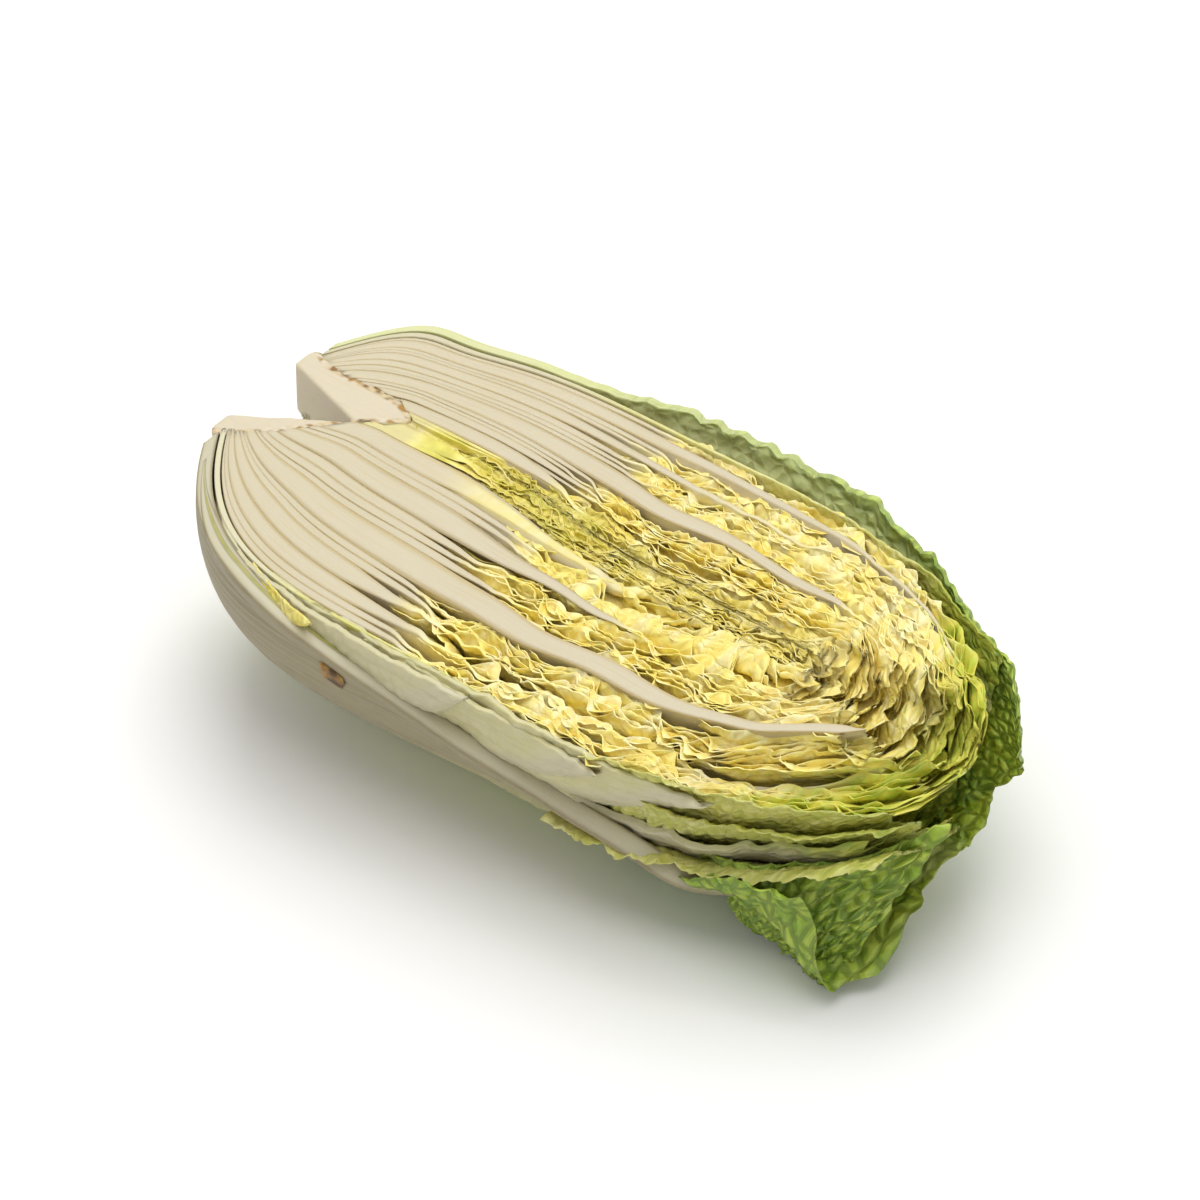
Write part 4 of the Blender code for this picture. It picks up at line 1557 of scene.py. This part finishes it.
@dataclass(frozen=True)
class EdgeBand:
    """A strip that follows the sagging cut edge of the near outer leaf.

    Attributes:
        name: The piece's name.
        finish: Its material slot.
        start: Where along the head it begins.
        end: Where it ends.
        below: Angle from the leaf's edge to the strip's upper edge.
        width: Angle that the strip spans.
        thick: How thick its upper edge is.
        out: How far it stands off the middle of the leaf.
        browned: True for withered brown.
    """

    name: str
    finish: Finish
    start: float
    end: float
    below: float
    width: float
    thick: float
    out: float = 0.0
    browned: bool = False
    section: Section = Section(face=14, rim=8, easing=0.0)
    rows: int = 180
    vein_end: float = 112 * MM
    wobble: float = 0.7 * MM
    lift: float = 3.5 * MM
    lift_start: float = 190 * MM
    lift_length: float = 50 * MM
    proud: float = 0.3 * MM

    def surface(self) -> Surface:
        """Lay the strip.

        Returns:
            Its points and the values that its material reads.
        """
        leaf = WRAPPERS[3]
        span, side = self.section.places()
        shares = row_shares(self.rows)
        x = self.start + shares * (self.end - self.start) + 0 * span
        side = np.broadcast_to(side, x.shape)
        narrow = smoothstep(shares / 0.12) * smoothstep((1.0 - shares) / 0.16)
        low = WRAP.sag_angle(x) + self.below
        angle = low + self.width * (0.35 + 0.65 * narrow) * span
        arc = arc_of(angle)
        middle = WRAP.radius(leaf, angle, x) + 0.5 * (WRAP.thin_blade + WRAP.rib_thickness(leaf, angle, x))
        middle = middle + self.out + self.wobble * CRUMPLE(x / (24 * MM), 0.4, 0.7)
        middle = middle + self.lift * smoothstep((x - self.lift_start) / self.lift_length)
        thick = self.thick * (0.2 + 0.8 * narrow) * (1.0 - 0.86 * span**1.5)
        radius = middle + 0.5 * side * thick
        points = HEAD.shell_point(radius, angle, x)
        crown = 0.8 * MM * (1.0 - side**2) * np.exp(-arc_of(angle - low) / (2 * MM))
        top_at = HEAD.cut_height + self.proud
        points[..., 2] = np.clip(points[..., 2] + narrow * crown, WRAP.floor_clearance, top_at)
        top = np.exp(-arc_of(angle - low) / (1.2 * MM))
        vein = np.exp(-(((side + 0.25) / 0.22) ** 2)) * top * smoothstep((self.vein_end - x) / (20 * MM))
        stale = 1.0 if self.browned else 0.0
        values = {
            "rib": (1.0 - 0.9 * vein) * (1.0 - stale),
            "green": np.clip(vein + stale, 0.0, 1.0),
            "tone": BROAD(x / (20 * MM), arc / (9 * MM), 3.1),
            "seam": top * (1.0 - side**4) * (1.0 - vein),
        }
        return Surface(points, values, np.stack([x, arc, side * thick], axis=-1))


EDGE_BANDS = (
    EdgeBand("near_edge_band", Finish.OUTER, 6 * MM, 252 * MM, -0.3, 9.0, 7.6 * MM, 0.6 * MM),
    EdgeBand("brown_scrap", Finish.CORE, 91 * MM, 101 * MM, 2.6, 4.2, 1.0 * MM, 4.3 * MM, True, rows=24),
)


@dataclass(frozen=True)
class SavoyFace:
    """The blistered face of the bottom leaf's end, sloping from under the frill to its tip.

    Attributes:
        name: The piece's name.
        finish: Its material slot.
        top: Place along the head, across it and below the cut plane at three places on its upper edge.
        foot: The same on its lower edge.
    """

    name: str
    finish: Finish
    top: tuple[tuple[float, float, float], ...]
    foot: tuple[tuple[float, float, float], ...]
    length: float = 70 * MM
    height: float = 62 * MM
    bulge: float = 5 * MM
    quilt: float = 2.0 * MM
    cell: float = 6.5 * MM
    frill: float = 2.2 * MM
    blade: float = 0.6 * MM
    green: float = 0.75
    section: Section = Section(face=90, rim=1, easing=0.0)
    rows: int = 120

    def surface(self) -> Surface:
        """Lay the face.

        Returns:
            Its points and the values that its material reads.
        """
        span, side = self.section.places()
        shares = row_shares(self.rows)
        side = np.broadcast_to(side, (shares.shape[0], side.shape[0]))
        top = np.stack([through(places, shares) for places in zip(*self.top)], axis=-1)
        foot = np.stack([through(places, shares) for places in zip(*self.foot)], axis=-1)
        down = span[None, :, None]
        place = top + (foot - top) * down
        along, across = np.gradient(place[1:], axis=0), foot - top
        along = np.concatenate([along[:1], along])
        normal = np.cross(along, np.broadcast_to(across, along.shape))
        normal /= np.linalg.norm(normal, axis=-1, keepdims=True) + 1e-12
        normal *= np.sign(-normal[..., 1:2] + 1e-9)
        u, v = shares * self.length + 0 * span, span * self.height + 0 * shares
        edge = np.exp(-np.minimum(u, self.length - u) / (5 * MM)) + np.exp(-(self.height - v) / (5 * MM))
        quilt = QUILT(u / self.cell, v / self.cell)
        raised = self.bulge * np.sin(math.pi * span) * np.sin(math.pi * shares) + self.quilt * (quilt - 0.4)
        raised = raised + 2.0 * MM * CRUMPLE(u / (16 * MM), v / (16 * MM), 2.2) + 0.5 * side * self.blade
        raised = raised + self.frill * edge * FINE(u / (6 * MM), v / (6 * MM), 4.4)
        place = place + normal * raised[..., None]
        ragged = self.frill * edge * EDGE(u / (4 * MM), v / (4 * MM), 0.8)
        place = place + ragged[..., None] * (0.7, 0.3, 0.2)
        height = np.clip(HEAD.cut_height - place[..., 2], WRAP.floor_clearance, HEAD.cut_height)
        points = np.stack([place[..., 0] - HEAD.rests_at, place[..., 1], height], axis=-1)
        green = self.green + 0.4 * BROAD(u / (14 * MM), v / (14 * MM), 1.1) + 0.4 * (quilt - 0.5)
        values = {
            "green": np.clip(green, 0.0, 1.0),
            "tone": BROAD(u / (12 * MM), v / (12 * MM), 6.1),
            "net": 1.0,
        }
        return Surface(points, values, np.stack([u, v, side * self.blade], axis=-1))


SAVOY_FACES = (
    SavoyFace(
        "tip_savoy_near",
        Finish.GREEN,
        ((222 * MM, -58 * MM, 36 * MM), (260 * MM, -47 * MM, 30 * MM), (291 * MM, -15 * MM, 19 * MM)),
        ((237 * MM, -46 * MM, 68 * MM), (253 * MM, -47 * MM, 74 * MM), (271 * MM, -49 * MM, 75.5 * MM)),
    ),
)


@dataclass(frozen=True)
class Palette:
    """The colours, relief and gloss of one material.

    Attributes:
        name: What the real surface is.
        rib: The rib's colour.
        rib_line: The watery lines along the rib.
        blade: The blade's colour.
        blade_light: The blade where it is paler.
        green: The blade where it has turned green.
        green_dark: The deepest green.
        crease_shade: Painted shade in the creases between the blisters.
        cell: How wide the blisters are.
        relief: How high they stand.
        creased: How strongly painted shade darkens the creases.
        seam: Painted shade, in an ochre tint, where two stalks meet on the cut; on the loose leaves, the
            colour of their cut edge.
        roughness: Gloss of the skin.
        translucence: How much light passes under the skin.
    """

    name: str
    rib: str
    rib_line: str
    blade: str
    blade_light: str
    green: str
    green_dark: str
    # Darker than the blade: painted shade in the creases.
    crease_shade: str
    cell: float = 4.5 * MM
    relief: float = 0.8 * MM
    creased: float = 0.4
    # Ochre, for painted shade in the grooves between stalks; the loose leaves set their own cut-edge colour.
    seam: str = "#cbb172"
    roughness: float = 0.45
    translucence: float = 0.25


PALETTES = {
    # Sliced stump flesh: dense, cream and nearly matt, with brown specks where its rim has dried.
    Finish.CORE: Palette(
        "sliced_stump_flesh", "#cfc3a9", "#cbbe9f", "#cdb98f", "#d3c8b0", "#a8803c", "#4e3414", "#b4945c",
        roughness=0.5, creased=0.0,
    ),
    # Young leaf, grown crumpled in the dark: greenish yellow, with small tight creases.
    Finish.HEART: Palette(
        "crumpled_heart_leaf", "#d6ca8c", "#cabd70", "#f0dc6c", "#f4e69a", "#dcd454", "#bfb63c", "#cbb23c",
        cell=3.2 * MM, relief=0.6 * MM, creased=0.35, translucence=0.12,
    ),
    # Blanched leaf with a thick wet rib: cream stalk with faint watery lines, pale yellow blade.
    Finish.RIB: Palette(
        "blanched_ribbed_leaf", "#c8bda0", "#c2b48c", "#fbeb84", "#fdf5ba", "#e2e460", "#b6c644", "#ecc04c",
        cell=4.2 * MM, relief=0.5 * MM, creased=0.3, translucence=0.12,
    ),
    # Blanched leaf nearer to the heart: the same stalk with a deeper yellow, finer creased blade.
    Finish.YELLOW: Palette(
        "blanched_yellow_leaf", "#c8bda0", "#c2b48c", "#fbea7c", "#fdf3ae", "#e8e264", "#c9c84c", "#ecbe44",
        cell=3.8 * MM, relief=0.5 * MM, creased=0.3, translucence=0.12,
    ),
    # Inner wrapper leaf that had some light: white rib, soft yellow green blade with low blisters.
    Finish.PALE: Palette(
        "pale_wrapper_leaf", "#c8c0a0", "#b9b186", "#d0ca70", "#dad492", "#b8bc46", "#8a9e32", "#a3a648",
        cell=4.2 * MM, relief=0.7 * MM, creased=0.35, seam="#d8d2b0", translucence=0.15,
    ),
    # Outer leaf with a broad waxy rib, greyish white outside in long shallow lines: its colours are darkened
    # as painted shade of the side turned from the light, while its cut edge keeps a pale flesh colour.
    Finish.OUTER: Palette(
        "waxy_outer_rib_painted_shade", "#9a8f70", "#877e5c", "#a29c68", "#b2ac7e", "#b0ac48", "#9aa038", "#7c8440",
        cell=9 * MM, relief=0.5 * MM, creased=0.2, seam="#d6d0b4",
    ),
    # Savoyed outer leaf, grown in full light: mid green blisters, with painted shade darkening the sunken
    # veins between them.
    Finish.GREEN: Palette(
        "savoyed_green_leaf", "#cfd09c", "#b4bc70", "#bcc64c", "#ccd46e", "#b4c850", "#8cac3a", "#4e6a20",
        cell=5.4 * MM, relief=1.6 * MM, creased=0.65, seam="#c8cc90", translucence=0.15,
    ),
}

# Cells to the metre along the leaf, round it and through it, and the detail in them. The patches are
# about 6 mm wide. The watery lines of the stalk are 1.1 mm apart and 33 mm long. The grain of the
# skin is really finer than 1.4 mm, and is drawn as coarse as it needs to show.
GRAINS = {
    "patches": ((160.0, 160.0, 60.0), 3.0),
    "lines": ((30.0, 900.0, 900.0), 3.0),
    "specks": ((700.0, 700.0, 700.0), 2.0),
}

# Each layer of colour: its name, the share of the second colour, and the two colours that it mixes.
COLOUR_LAYERS = (
    ("blade", "paler", "blade", "blade_light"),
    ("blade", "toned", "blade", "blade_light"),
    ("leafy", "freshened", "green_dark", "green"),
    ("blade", "greened", "blade", "leafy"),
    # Painted shade darkens the creases between the blisters.
    ("blade", "crease_shading", "blade", "crease_shade"),
    ("rib", "lined", "rib", "rib_line"),
    # Painted shade tints the grooves where stalks meet, and the loose leaves' cut edges take their own
    # colour.
    ("rib", "groove_shaded_and_cut", "rib", "seam"),
    ("skin", "ribbed", "blade", "rib"),
)


class Materials:
    """Makes one procedural material for each slot."""

    def __init__(self) -> None:
        """Start with no materials."""
        self.made: dict[Finish, bpy.types.Material] = {}

    def get(self, finish: Finish) -> bpy.types.Material:
        """The material of a slot, made the first time it is asked for."""
        if finish not in self.made:
            self.made[finish] = self.leaf(PALETTES[finish])
        return self.made[finish]

    @staticmethod
    def patterns(tree: bpy.types.NodeTree, palette: Palette) -> dict[str, bpy.types.NodeSocket]:
        """Read the leaf's own values and lay its patterns along its grain.

        Args:
            tree: The material's nodes.
            palette: The colours, relief and gloss.

        Returns:
            Each value and pattern by its name.
        """
        value = {}
        for name in LEAF_VALUES:
            value[name] = add_node(tree, "ShaderNodeAttribute", attribute_name=name).outputs["Fac"]
        grain = add_node(tree, "ShaderNodeAttribute", attribute_name="grain").outputs["Vector"]
        for name, (cells, detail) in GRAINS.items():
            place = add_node(tree, "ShaderNodeVectorMath", {0: grain, 1: cells}, operation="MULTIPLY")
            links = {"Vector": place.outputs[0], "Scale": 1.0, "Detail": detail}
            value[name] = add_node(tree, "ShaderNodeTexNoise", links).outputs["Fac"]
        # The net of creases: borders of cells as wide as the blisters, bent by a broad noise.
        links = {"Vector": grain, "Scale": 0.5 / palette.cell, "Detail": 1.0}
        bent = add_node(tree, "ShaderNodeTexNoise", links).outputs["Color"]
        links = {0: bent, 1: (1.2 * palette.cell, 1.2 * palette.cell, 0.0), 2: grain}
        place = add_node(tree, "ShaderNodeVectorMath", links, operation="MULTIPLY_ADD").outputs[0]
        links = {"Vector": place, "Scale": 1.0 / palette.cell}
        settings = {"voronoi_dimensions": "2D", "feature": "DISTANCE_TO_EDGE"}
        value["border"] = add_node(tree, "ShaderNodeTexVoronoi", links, **settings).outputs["Distance"]
        for name, source, low, high, most in (
            ("dome", "border", 0.0, 0.42, 1.0),
            ("paler", "patches", 0.42, 0.66, 1.0),
            ("toned", "tone", -0.1, 0.8, 0.6),
            ("freshened", "patches", 0.35, 0.62, 1.0),
            ("greened", "green", 0.1, 0.9, 1.0),
            # Painted shade: the crease colour falls on the borders of the cells, where the blisters sink.
            ("crease_shading", "dome", 0.5, 0.05, palette.creased),
            ("lined", "lines", 0.5, 0.7, 0.6),
            # Painted shade in the grooves between stalks, and the cut edges of the loose leaves.
            ("groove_shaded_and_cut", "seam", 0.3, 1.0, 0.6),
            ("ribbed", "rib", 0.12, 0.6, 1.0),
        ):
            links = {"Value": value[source], "From Min": low, "From Max": high, "To Max": most}
            eased = add_node(tree, "ShaderNodeMapRange", links, interpolation_type="SMOOTHSTEP")
            value[name] = eased.outputs["Result"]
        for name, operation, first, second in (
            ("crease_shading", "MULTIPLY", "crease_shading", "net"),
            ("raised", "MULTIPLY", "dome", "net"),
            ("grained", "ADD", "lines", "specks"),
        ):
            links = {0: value[first], 1: value[second]}
            value[name] = add_node(tree, "ShaderNodeMath", links, operation=operation).outputs[0]
        return value

    def leaf(self, palette: Palette) -> bpy.types.Material:
        """Make a leaf's material: rib to blade to green, with painted shade in its creases and grooves, and a
        moist gloss.

        Args:
            palette: The colours, relief and gloss.

        Returns:
            The material.
        """
        material = bpy.data.materials.new(palette.name)
        material.use_nodes = True
        tree = material.node_tree
        shader = tree.nodes["Principled BSDF"]
        value = self.patterns(tree, palette)
        names = ("rib", "rib_line", "blade", "blade_light", "green", "green_dark", "crease_shade", "seam")
        colour = {name: linear(getattr(palette, name)) for name in names}
        for name, share, under, over in COLOUR_LAYERS:
            links = {"Factor": value[share], 6: colour[under], 7: colour[over]}
            colour[name] = add_node(tree, "ShaderNodeMix", links, data_type="RGBA").outputs[2]
        tree.links.new(colour["skin"], shader.inputs["Base Color"])
        rough = palette.roughness
        links = {"Value": value["patches"], "To Min": rough - 0.08, "To Max": rough + 0.1}
        gloss = add_node(tree, "ShaderNodeMapRange", links)
        tree.links.new(gloss.outputs["Result"], shader.inputs["Roughness"])
        links = {"Height": value["grained"], "Strength": 0.35, "Distance": 0.3 * MM}
        skin = add_node(tree, "ShaderNodeBump", links).outputs["Normal"]
        links = {"Height": value["raised"], "Strength": 0.8, "Distance": palette.relief, "Normal": skin}
        skin = add_node(tree, "ShaderNodeBump", links).outputs["Normal"]
        tree.links.new(skin, shader.inputs["Normal"])
        # Wet leaf flesh: light spreads a few millimetres, red the furthest, under a soft shine.
        shader.inputs["Subsurface Weight"].default_value = palette.translucence
        shader.inputs["Subsurface Radius"].default_value = (1.0, 0.75, 0.25)
        shader.inputs["Subsurface Scale"].default_value = 3.5 * MM
        shader.inputs["Specular IOR Level"].default_value = 0.4
        return material


class CoreMaker:
    """Makes the core: a half cone with a softly cut V notch."""

    VOXEL = 0.8 * MM

    @staticmethod
    def radius_at(x: float) -> float:
        """Radius of the uncut cone at x."""
        return HEAD.core_radius_at_butt - HEAD.core_taper * x

    def cone(self) -> bpy.types.Object:
        """The leaning half cone.

        Returns:
            The cone, linked to the scene.
        """
        start, shoulder = HEAD.notch_start, HEAD.notch_start + 3 * MM
        butt = self.radius_at(shoulder)
        profile = [(start, 0.0), (start, butt - 3 * MM), (start + 1 * MM, butt - 1 * MM)]
        profile += [(x, self.radius_at(x)) for x in np.linspace(shoulder, HEAD.core_end, 16)]
        profile.append((HEAD.core_end, 0.0))
        bm = bmesh.new()
        line = [bm.verts.new((x, -radius, 0.0)) for x, radius in profile]
        edges = [bm.edges.new(pair) for pair in zip(line, line[1:])]
        bmesh.ops.spin(bm, geom=line + edges, cent=(0, 0, 0), axis=(1, 0, 0), angle=math.pi, steps=40)
        bmesh.ops.remove_doubles(bm, verts=bm.verts[:], dist=0.01 * MM)
        bmesh.ops.contextual_create(bm, geom=[edge for edge in bm.edges if edge.is_boundary])
        for vert in bm.verts:
            vert.co.y += float(HEAD.heart_offset(max(vert.co.x, 0.0)))
            vert.co.x -= HEAD.rests_at
            vert.co.z = HEAD.cut_height + HEAD.depth_share * vert.co.z
        bmesh.ops.recalc_face_normals(bm, faces=bm.faces[:])
        return self.link("core_cone", bm)

    def wedge(self) -> bpy.types.Object:
        """The wedge that the notch is cut with.

        Returns:
            The wedge, linked to the scene.
        """
        beyond = 6 * MM
        near = (HEAD.notch_vertex_y + HEAD.notch_half_mouth) / HEAD.notch_depth
        far = (HEAD.notch_vertex_y - HEAD.notch_half_mouth) / HEAD.notch_depth
        corners = (
            (HEAD.notch_start - beyond, -HEAD.notch_half_mouth - near * beyond),
            (HEAD.notch_start + HEAD.notch_depth, HEAD.notch_vertex_y),
            (HEAD.notch_start - beyond, HEAD.notch_half_mouth - far * beyond),
        )
        bm = bmesh.new()
        top = [bm.verts.new((x - HEAD.rests_at, y, HEAD.cut_height + beyond)) for x, y in corners]
        made = bmesh.ops.extrude_face_region(bm, geom=[bm.faces.new(top)], use_keep_orig=True)
        moved = [item for item in made["geom"] if isinstance(item, bmesh.types.BMVert)]
        bmesh.ops.translate(bm, verts=moved, vec=(0, 0, -2 * HEAD.core_radius_at_butt))
        bmesh.ops.recalc_face_normals(bm, faces=bm.faces[:])
        return self.link("notch_wedge", bm)

    @staticmethod
    def link(name: str, bm: bmesh.types.BMesh) -> bpy.types.Object:
        """Turn a bmesh into an object in the scene.

        Args:
            name: The object's name.
            bm: Its mesh, freed afterwards.

        Returns:
            The object, at the origin.
        """
        mesh = bpy.data.meshes.new(name)
        bm.to_mesh(mesh)
        bm.free()
        made = bpy.data.objects.new(name, mesh)
        bpy.context.scene.collection.objects.link(made)
        return made

    def make(self) -> bpy.types.Object:
        """Cut the notch, round its edges and write the values its material reads.

        Returns:
            The core, linked to the scene.
        """
        cone, wedge = self.cone(), self.wedge()
        cut = cone.modifiers.new("cut", "BOOLEAN")
        cut.operation, cut.object = "DIFFERENCE", wedge
        remesh = cone.modifiers.new("remesh", "REMESH")
        remesh.mode, remesh.voxel_size, remesh.use_smooth_shade = "VOXEL", self.VOXEL, True
        soften = cone.modifiers.new("soften", "SMOOTH")
        soften.iterations = 3
        bpy.context.view_layer.update()
        settled = cone.evaluated_get(bpy.context.evaluated_depsgraph_get())
        mesh = bpy.data.meshes.new_from_object(settled)
        mesh.name = "core"
        for spare in (cone, wedge):
            spare_mesh = spare.data
            bpy.data.objects.remove(spare)
            bpy.data.meshes.remove(spare_mesh)
        made = bpy.data.objects.new("core_fine", mesh)
        bpy.context.scene.collection.objects.link(made)
        self.write_values(mesh)
        return made

    @staticmethod
    def write_values(mesh: bpy.types.Mesh) -> None:
        """Roughen the core and mark its browned rim.

        Args:
            mesh: The core's mesh.
        """
        count = len(mesh.vertices)
        flat = np.empty(count * 3)
        mesh.vertices.foreach_get("co", flat)
        places = flat.reshape(-1, 3)
        x, y = places[:, 0] + HEAD.rests_at, places[:, 1]
        low = places[:, 2] - HEAD.cut_height
        wobble = 0.3 * MM * BROAD(x / (7 * MM), y / (7 * MM), low / (7 * MM))
        places[:, 2] = np.minimum(places[:, 2] + wobble, HEAD.cut_height)
        mesh.vertices.foreach_set("co", places.ravel())
        from_axis = np.hypot(y - HEAD.heart_offset(np.maximum(x, 0.0)), low / HEAD.depth_share)
        rim = np.exp(-(((from_axis - HEAD.core_radius(x)) / (3.2 * MM)) ** 2)) * (low > -2.5 * MM)
        values = {
            "rib": 1.0 - np.clip(1.9 * rim, 0.0, 0.98),
            "green": np.clip(rim * (0.4 + 1.9 * EDGE(x / (1.6 * MM), y / (1.6 * MM), 0.5)), 0.0, 1.0),
            "tone": BROAD(x / (12 * MM), y / (12 * MM), low / (12 * MM)),
        }
        for label in LEAF_VALUES:
            value = np.broadcast_to(values.get(label, 0.0), (count,)).astype(np.float32)
            mesh.attributes.new(label, "FLOAT", "POINT").data.foreach_set("value", value)
        grain = mesh.attributes.new("grain", "FLOAT_VECTOR", "POINT")
        grain.data.foreach_set("vector", places.astype(np.float32).ravel())
        mesh.update()


class Cabbage:
    """Puts every piece of the half head together."""

    def __init__(self) -> None:
        """Start with no pieces."""
        self.tubes = TubeMaker()
        self.materials = Materials()
        self.pieces: list[bpy.types.Object] = []

    def dress(self, piece: bpy.types.Object, finish: Finish, *nodes: str) -> None:
        """Give a piece its material, attach it to the body and hide the solids that it stands for.

        Args:
            piece: The visual piece.
            finish: Its material slot.
            nodes: The solids that it stands for.
        """
        piece.data.materials.clear()
        piece.data.materials.append(self.materials.get(finish))
        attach(piece, BODY)
        if nodes:
            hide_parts(*nodes)
        self.pieces.append(piece)

    def head_leaves(self) -> None:
        """Every leaf of the closed head."""
        for number in range(HEAD.leaves):
            if number < 3:
                node, finish = f"heart_leaf_{number + 1:02d}", Finish.HEART
            else:
                node = f"head_leaf_{number - 2:02d}"
                finish = Finish.RIB if number > 0.5 * HEAD.leaves else Finish.YELLOW
            leaf = HeadLeaf(number)
            self.dress(self.tubes.make(f"{node}_fine", leaf.surface(), leaf.section), finish, node)
            self.folds(number, node, finish)

    def folds(self, number: int, node: str, finish: Finish) -> None:
        """The folds of one leaf's blade at the cut edges that it reaches.

        Args:
            number: The leaf's number, from the heart outwards.
            node: The leaf's node.
            finish: Their material slot.
        """
        low, high = HeadLeaf(number).span
        offsets = (0.2, 0.55, 0.9) if number in (3, 4) else (0.35, 0.85)
        for far, reached in ((False, low <= 0.0), (True, high >= 180.0)):
            for index, offset in enumerate(offsets if reached else ()):
                start = (50 if number < 6 else 74) * MM
                fold = BladeFold(number, far=far, offset=offset, seed=0.5 + index, fold_start=start)
                name = f"{node}_fold_{'far' if far else 'near'}_{index + 1}"
                self.dress(self.tubes.make(name, fold.surface(), fold.section), finish)

    def wrapper_leaves(self) -> None:
        """Every loose leaf round the head."""
        for leaf in WRAPPERS:
            fine = WrapperSurface(leaf)
            piece = self.tubes.make(f"{leaf.name}_fine", fine.surface(), fine.section)
            self.dress(piece, leaf.finish, leaf.name)

    def heart(self) -> None:
        """The crumpled blades of the heart."""
        for blade in HEART_BLADES:
            piece = self.tubes.make(f"heart_blade_{blade.number + 1:02d}", blade.surface(), blade.section)
            self.dress(piece, Finish.HEART)

    def loose_sheets(self) -> None:
        """Lobes, frilled edges and the flap on the near side and at the tip."""
        for sheet in LOBES + EDGE_BANDS + SAVOY_FACES:
            self.dress(self.tubes.make(sheet.name, sheet.surface(), sheet.section), sheet.finish)

    def build(self) -> None:
        """Build all pieces."""
        self.dress(CoreMaker().make(), Finish.CORE, "core")
        self.head_leaves()
        self.wrapper_leaves()
        self.heart()
        self.loose_sheets()
        self.tubes.clear()


@dataclass(frozen=True)
class Studio:
    """Floor, lights and camera.

    Attributes:
        azimuth: Where the camera stands round the part, in degrees from the front.
        elevation: How high it stands, in degrees.
        distance: How far away it is.
        lens: Its focal length in mm.
        target: The point it looks at.
        floor_size: Side of the floor.
        floor_colour: The floor's colour.
        floor_light: Its colour in the paler patches, a third of a metre wide.
        world_colour: The light from all round.
        world_strength: How strong that is.
    """

    azimuth: float = 38.5
    elevation: float = 40.0
    distance: float = 2.5
    lens: float = 235.0
    target: tuple[float, float, float] = (0.0311, -0.0155, 0.0758)
    floor_size: float = 8.0
    floor_colour: str = "#f2f1ee"
    floor_light: str = "#f6f5f3"
    world_colour: str = "#f7f8fa"
    world_strength: float = 0.55

    def direction(self, azimuth: float, elevation: float) -> Vector:
        """The direction from the part towards a place round it.

        Args:
            azimuth: Degrees round the part, from its front.
            elevation: Degrees above its floor.

        Returns:
            The direction, 1 long.
        """
        turned, raised = math.radians(azimuth), math.radians(elevation)
        across = math.cos(raised)
        return Vector((math.sin(turned) * across, -math.cos(turned) * across, math.sin(raised)))

    def camera(self) -> None:
        """The camera at the photograph's angle."""
        data = bpy.data.cameras.new("camera")
        data.lens, data.sensor_width = self.lens, 36.0
        data.clip_end = 20.0
        made = bpy.data.objects.new("camera", data)
        towards = self.direction(self.azimuth, self.elevation)
        made.location = Vector(self.target) + self.distance * towards
        made.rotation_euler = towards.to_track_quat("Z", "Y").to_euler()
        bpy.context.scene.collection.objects.link(made)
        bpy.context.scene.camera = made

    def light(self, name: str, place: tuple[float, float, float], size: float, power: float) -> None:
        """Hang a soft square light that faces the part.

        Args:
            name: The light's name.
            place: Its azimuth and elevation in degrees, and its distance.
            size: Its side.
            power: Its power in watts.
        """
        azimuth, elevation, distance = place
        data = bpy.data.lights.new(name, "AREA")
        data.shape, data.size, data.energy = "SQUARE", size, power
        made = bpy.data.objects.new(name, data)
        towards = self.direction(azimuth, elevation)
        made.location = distance * towards
        made.rotation_euler = towards.to_track_quat("Z", "Y").to_euler()
        bpy.context.scene.collection.objects.link(made)

    def floor(self) -> None:
        """The pale floor: matt paper, nearly white, which takes a soft shadow and no shine."""
        bm = bmesh.new()
        bmesh.ops.create_grid(bm, x_segments=1, y_segments=1, size=0.5 * self.floor_size)
        made = CoreMaker.link("floor", bm)
        material = bpy.data.materials.new("matt_paper_floor")
        material.use_nodes = True
        tree = material.node_tree
        shader = tree.nodes["Principled BSDF"]
        place = add_node(tree, "ShaderNodeTexCoord").outputs["Object"]
        place = add_node(tree, "ShaderNodeVectorMath", {0: place, 1: (3.0, 3.0, 3.0)}, operation="MULTIPLY")
        links = {"Vector": place.outputs[0], "Scale": 1.0, "Detail": 3.0}
        patches = add_node(tree, "ShaderNodeTexNoise", links).outputs["Fac"]
        links = {"Factor": patches, 6: linear(self.floor_colour), 7: linear(self.floor_light)}
        colour = add_node(tree, "ShaderNodeMix", links, data_type="RGBA").outputs[2]
        tree.links.new(colour, shader.inputs["Base Color"])
        shader.inputs["Roughness"].default_value = 0.8
        made.data.materials.append(material)

    def build(self) -> None:
        """Set the floor, the lights, the world and the camera."""
        self.floor()
        self.light("key", (-150.0, 62.0, 1.6), 1.1, 11.0)
        self.light("top", (20.0, 84.0, 1.7), 1.3, 14.0)
        self.light("fill", (60.0, 25.0, 2.2), 1.4, 1.8)
        world = bpy.data.worlds.new("studio")
        bpy.context.scene.world = world
        world.use_nodes = True
        backdrop = world.node_tree.nodes["Background"]
        backdrop.inputs["Color"].default_value = linear(self.world_colour)
        backdrop.inputs["Strength"].default_value = self.world_strength
        bpy.context.scene.view_settings.view_transform = "Standard"
        self.camera()


def main() -> None:
    """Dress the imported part."""
    logging.basicConfig(level=logging.INFO, format="%(message)s")
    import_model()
    cabbage = Cabbage()
    cabbage.build()
    for piece in cabbage.pieces:
        LOG.info("%s: %d faces, %s", piece.name, len(piece.data.polygons), piece.data.materials[0].name)
    Studio().build()


if __name__ == "__main__":
    main()
